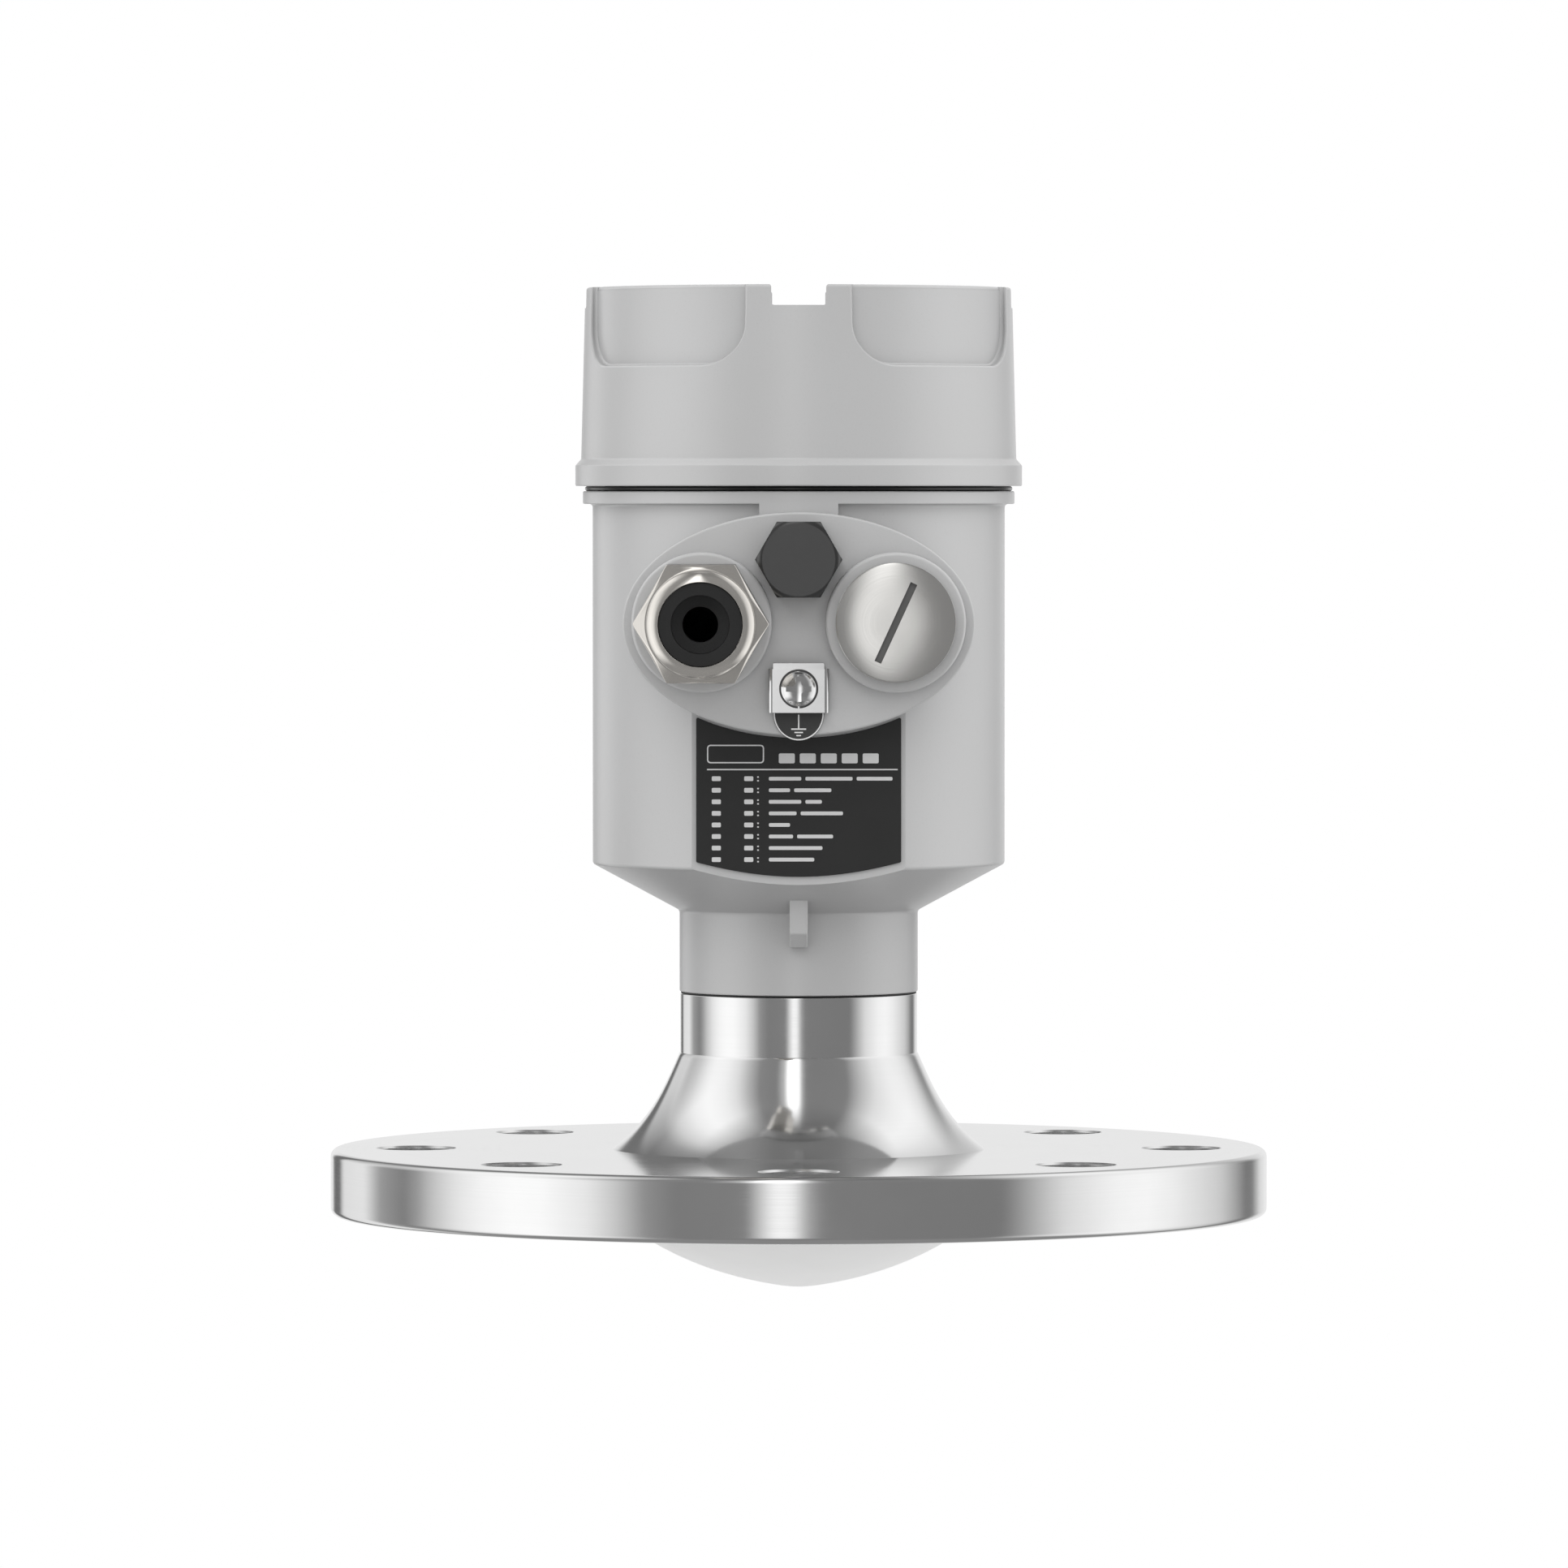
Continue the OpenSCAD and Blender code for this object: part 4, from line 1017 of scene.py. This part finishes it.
NODE_MATERIAL = {
    "lens_oring": "rubber", "waveguide_feed": "brass", "radar_board": "board", "radar_chips": "plastic", "shield_can": "screw", "bay_cap": "plastic",
    "antenna_lead": "jacket", "swivel_oring": "rubber", "retaining_ring": "spring", "gland_claw": "nylon", "electronics_cup": "plastic",
    "main_board": "board", "board_parts": "plastic", "terminal_carrier": "plastic", "terminal_block": "green", "terminal_pins": "brass",
    "cup_screws": "screw", "inner_ground_clamp": "zinc", "inner_ground_screw": "screw", "vent_membrane": "membrane",
}
for name, key in NODE_MATERIAL.items():
    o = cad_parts[name]
    o.data.materials.clear()
    o.data.materials.append(M[key])

for x in SPARE:
    bpy.data.materials.remove(x)

# ---------------------------------------------------------------- floor, light and camera
s = bpy.context.scene
floor_z = cad_lo[2] - 0.0002
me = bpy.data.meshes.new("floor")
rings, seg = [0.0, 0.4, 1.5, 5.0, 20.0], 96
v = [(0, 0, floor_z)] + [(r * math.cos(2 * math.pi * i / seg), r * math.sin(2 * math.pi * i / seg), floor_z) for r in rings[1:] for i in range(seg)]
f = [(0, 1 + i, 1 + (i + 1) % seg) for i in range(seg)]
for j in range(len(rings) - 2):
    f += [(1 + j * seg + i, 1 + (j + 1) * seg + i, 1 + (j + 1) * seg + (i + 1) % seg, 1 + j * seg + (i + 1) % seg) for i in range(seg)]
me.from_pydata(v, [], f)
floor = bpy.data.objects.new("floor", me)
s.collection.objects.link(floor)
fm = bpy.data.materials.new("floor_white")
fm.use_nodes = True
t = fm.node_tree
t.nodes.clear()
out = t.nodes.new("ShaderNodeOutputMaterial")
em = t.nodes.new("ShaderNodeEmission")
em.inputs[0].default_value, em.inputs[1].default_value = (1, 1, 1, 1), 1.0
clear = t.nodes.new("ShaderNodeBsdfTransparent")
geo = t.nodes.new("ShaderNodeNewGeometry")
mx = t.nodes.new("ShaderNodeMixShader")
t.links.new(geo.outputs["Backfacing"], mx.inputs[0])
t.links.new(em.outputs[0], mx.inputs[1])
t.links.new(clear.outputs[0], mx.inputs[2])
t.links.new(mx.outputs[0], out.inputs[0])
me.materials.append(fm)
floor.visible_glossy = floor.visible_diffuse = floor.visible_transmission = floor.visible_shadow = False

# The studio, as angles round the object (0 toward the camera, + to the right): two tall soft boxes at the sides, two dark flags in front with
# a bright strip between them, light and dark panels behind, a dark ceiling and a light floor. LOW is at eye level, HIGH at 45 degrees up.
LOW = [(-180, .835), (-167, .89), (-163, .16), (-155, .14), (-151, .80), (-134, .88), (-125, .36), (-113, .23), (-107, .36), (-102, .58), (-92, .90),
       (-83, 1.06), (-75, 1.12), (-66, 1.12), (-53, .93), (-45, .64), (-38, .31), (-30, .22), (-12.5, .23), (-8, .80), (-5.5, 1.12), (-1.5, 1.05), (2, .40),
       (6, .22), (51, .21), (56, .36), (68, .80), (84, 1.03), (94, 1.07), (104, .98), (127, .66), (143, .2), (149, .22), (158, .76), (168, .87), (180, .835)]
HIGH = [(-180, .22), (-150, .19), (-138, .35), (-126, .73), (-110, 1.0), (-96, 1.1), (-78, 1.0), (-66, .84), (-54, .52), (-42, .26), (-24, .23), (-15, .55),
        (-11, 1.5), (-1, 1.5), (4, .40), (8, .22), (52, .23), (66, .54), (82, .84), (100, .99), (116, 1.05), (130, .98), (144, .78), (162, .41), (172, .25),
        (180, .22)]
DOWN = [x for x in LOW if x[0] < -12 or x[0] > 7]
w = bpy.data.worlds.new("studio")
s.world = w
w.use_nodes = True
t = w.node_tree
t.nodes.clear()


def wmath(op, a, b=0.0):
    n = t.nodes.new("ShaderNodeMath")
    n.operation = op
    for i, x in enumerate((a, b)):
        if isinstance(x, bpy.types.NodeSocket):
            t.links.new(x, n.inputs[i])
        else:
            n.inputs[i].default_value = x
    return n.outputs[0]


def ramp(fac, stops, lo, hi):
    if len(stops) > 30:
        # a colour ramp holds 32 stops, so a longer one is two ramps with a switch between them
        k = len(stops) // 2
        n = t.nodes.new("ShaderNodeMix")
        n.data_type = "RGBA"
        t.links.new(wmath("GREATER_THAN", fac, (stops[k][0] - lo) / (hi - lo)), n.inputs[0])
        t.links.new(ramp(fac, stops[:k + 1], lo, hi), n.inputs[6])
        t.links.new(ramp(fac, stops[k:], lo, hi), n.inputs[7])
        return n.outputs[2]
    n = t.nodes.new("ShaderNodeValToRGB")
    n.color_ramp.interpolation = "LINEAR"
    e = n.color_ramp.elements
    while len(e) > 1:
        e.remove(e[-1])
    for i, (x, y) in enumerate(stops):
        q = e[0] if i == 0 else e.new((x - lo) / (hi - lo))
        q.position = (x - lo) / (hi - lo)
        q.color = (y / 2, y / 2, y / 2, 1)
    t.links.new(fac, n.inputs[0])
    return n.outputs[0]


co = t.nodes.new("ShaderNodeTexCoord")
sep = t.nodes.new("ShaderNodeSeparateXYZ")
t.links.new(co.outputs["Generated"], sep.inputs[0])
az = wmath("DIVIDE", wmath("ARCTAN2", sep.outputs[0], wmath("MULTIPLY", sep.outputs[1], -1.0)), 2 * math.pi)
az = wmath("ADD", az, 0.5)
el = wmath("DIVIDE", wmath("ARCSINE", sep.outputs[2]), math.pi)
el = wmath("ADD", el, 0.5)


def wmix(f, x, y):
    n = t.nodes.new("ShaderNodeMix")
    n.data_type = "RGBA"
    for i, q in ((0, f), (6, x), (7, y)):
        if isinstance(q, bpy.types.NodeSocket):
            t.links.new(q, n.inputs[i])
        else:
            n.inputs[i].default_value = q
    return n.outputs[2]


sky = wmix(ramp(el, [(-90, 0.0), (6, 0.0), (36, 2.0), (90, 2.0)], -90, 90), ramp(az, LOW, -180, 180), ramp(az, HIGH, -180, 180))
sky = wmix(ramp(el, [(-90, 2.0), (-24, 2.0), (-4, 0.0), (90, 0.0)], -90, 90), sky, ramp(az, DOWN, -180, 180))
ceiling = ramp(el, [(-90, .14), (72, .14), (79, .19), (90, .45)], -90, 90)
sky = wmix(ramp(el, [(-90, 0.0), (56, 0.0), (77, 2.0), (90, 2.0)], -90, 90), sky, ceiling)
sky = wmix(ramp(el, [(-90, 2.0), (-50, 2.0), (-32, 0.0), (90, 0.0)], -90, 90), sky, (.13, .13, .13, 1))
bg = t.nodes.new("ShaderNodeBackground")
t.links.new(sky, bg.inputs[0])
bg.inputs[1].default_value = 2.0
# matt surfaces are lit by the whole room: even panels all round, dimmer in front, and a soft key above
room = t.nodes.new("ShaderNodeBackground")
rise = ramp(el, [(-90, 0.817), (-40, 0.745), (-10, 0.732), (25, 1.056), (50, 1.063), (90, 0.872)], -90, 90)
round_ = ramp(az, [(-180, 1.091), (-90, 1.151), (-45, 0.931), (0, 0.608), (45, 1.038), (90, 1.245), (180, 0.888)], -180, 180)
mul = t.nodes.new("ShaderNodeMix")
mul.data_type, mul.blend_type = "RGBA", "MULTIPLY"
mul.inputs[0].default_value = 1.0
t.links.new(rise, mul.inputs[6])
t.links.new(round_, mul.inputs[7])
# a broad soft key from above and a little to the left of the camera
key = wmath("ADD", wmath("ADD", wmath("MULTIPLY", sep.outputs[0], -0.1664), wmath("MULTIPLY", sep.outputs[1], -0.6209)), wmath("MULTIPLY", sep.outputs[2], 0.766))
key = wmath("MULTIPLY", wmath("POWER", wmath("MAXIMUM", key, 0.0), 12.0), 1.7 / 4)
add = t.nodes.new("ShaderNodeMix")
add.data_type, add.blend_type = "RGBA", "ADD"
add.inputs[0].default_value = 1.0
t.links.new(mul.outputs[2], add.inputs[6])
t.links.new(key, add.inputs[7])
t.links.new(add.outputs[2], room.inputs[0])
white = t.nodes.new("ShaderNodeBackground")
white.inputs[0].default_value, white.inputs[1].default_value = (1, 1, 1, 1), 1.0
lp = t.nodes.new("ShaderNodeLightPath")
# light that has already been scattered once counts for less, which keeps the hollows dark
t.links.new(wmath("SUBTRACT", 4.0, wmath("MULTIPLY", wmath("GREATER_THAN", lp.outputs["Ray Depth"], 2.5), 2.0)), room.inputs[1])
md, ms = t.nodes.new("ShaderNodeMixShader"), t.nodes.new("ShaderNodeMixShader")
t.links.new(lp.outputs["Is Diffuse Ray"], md.inputs[0])
t.links.new(bg.outputs[0], md.inputs[1])
t.links.new(room.outputs[0], md.inputs[2])
t.links.new(lp.outputs["Is Camera Ray"], ms.inputs[0])
t.links.new(md.outputs[0], ms.inputs[1])
t.links.new(white.outputs[0], ms.inputs[2])
wo = t.nodes.new("ShaderNodeOutputWorld")
t.links.new(ms.outputs[0], wo.inputs[0])
w.cycles.sampling_method = "NONE"

s.view_settings.view_transform = "Standard"

cam = bpy.data.cameras.new("camera")
cam.sensor_width, cam.lens = 36.0, 13500 / 1932 * 36.0
cam.clip_start, cam.clip_end = 0.05, 60
o = bpy.data.objects.new("camera", cam)
o.location = (0.0, -2.575, 0.1707)
o.rotation_euler = (math.radians(90 - 1.551), 0, math.radians(0.0768))
s.collection.objects.link(o)
s.camera = o
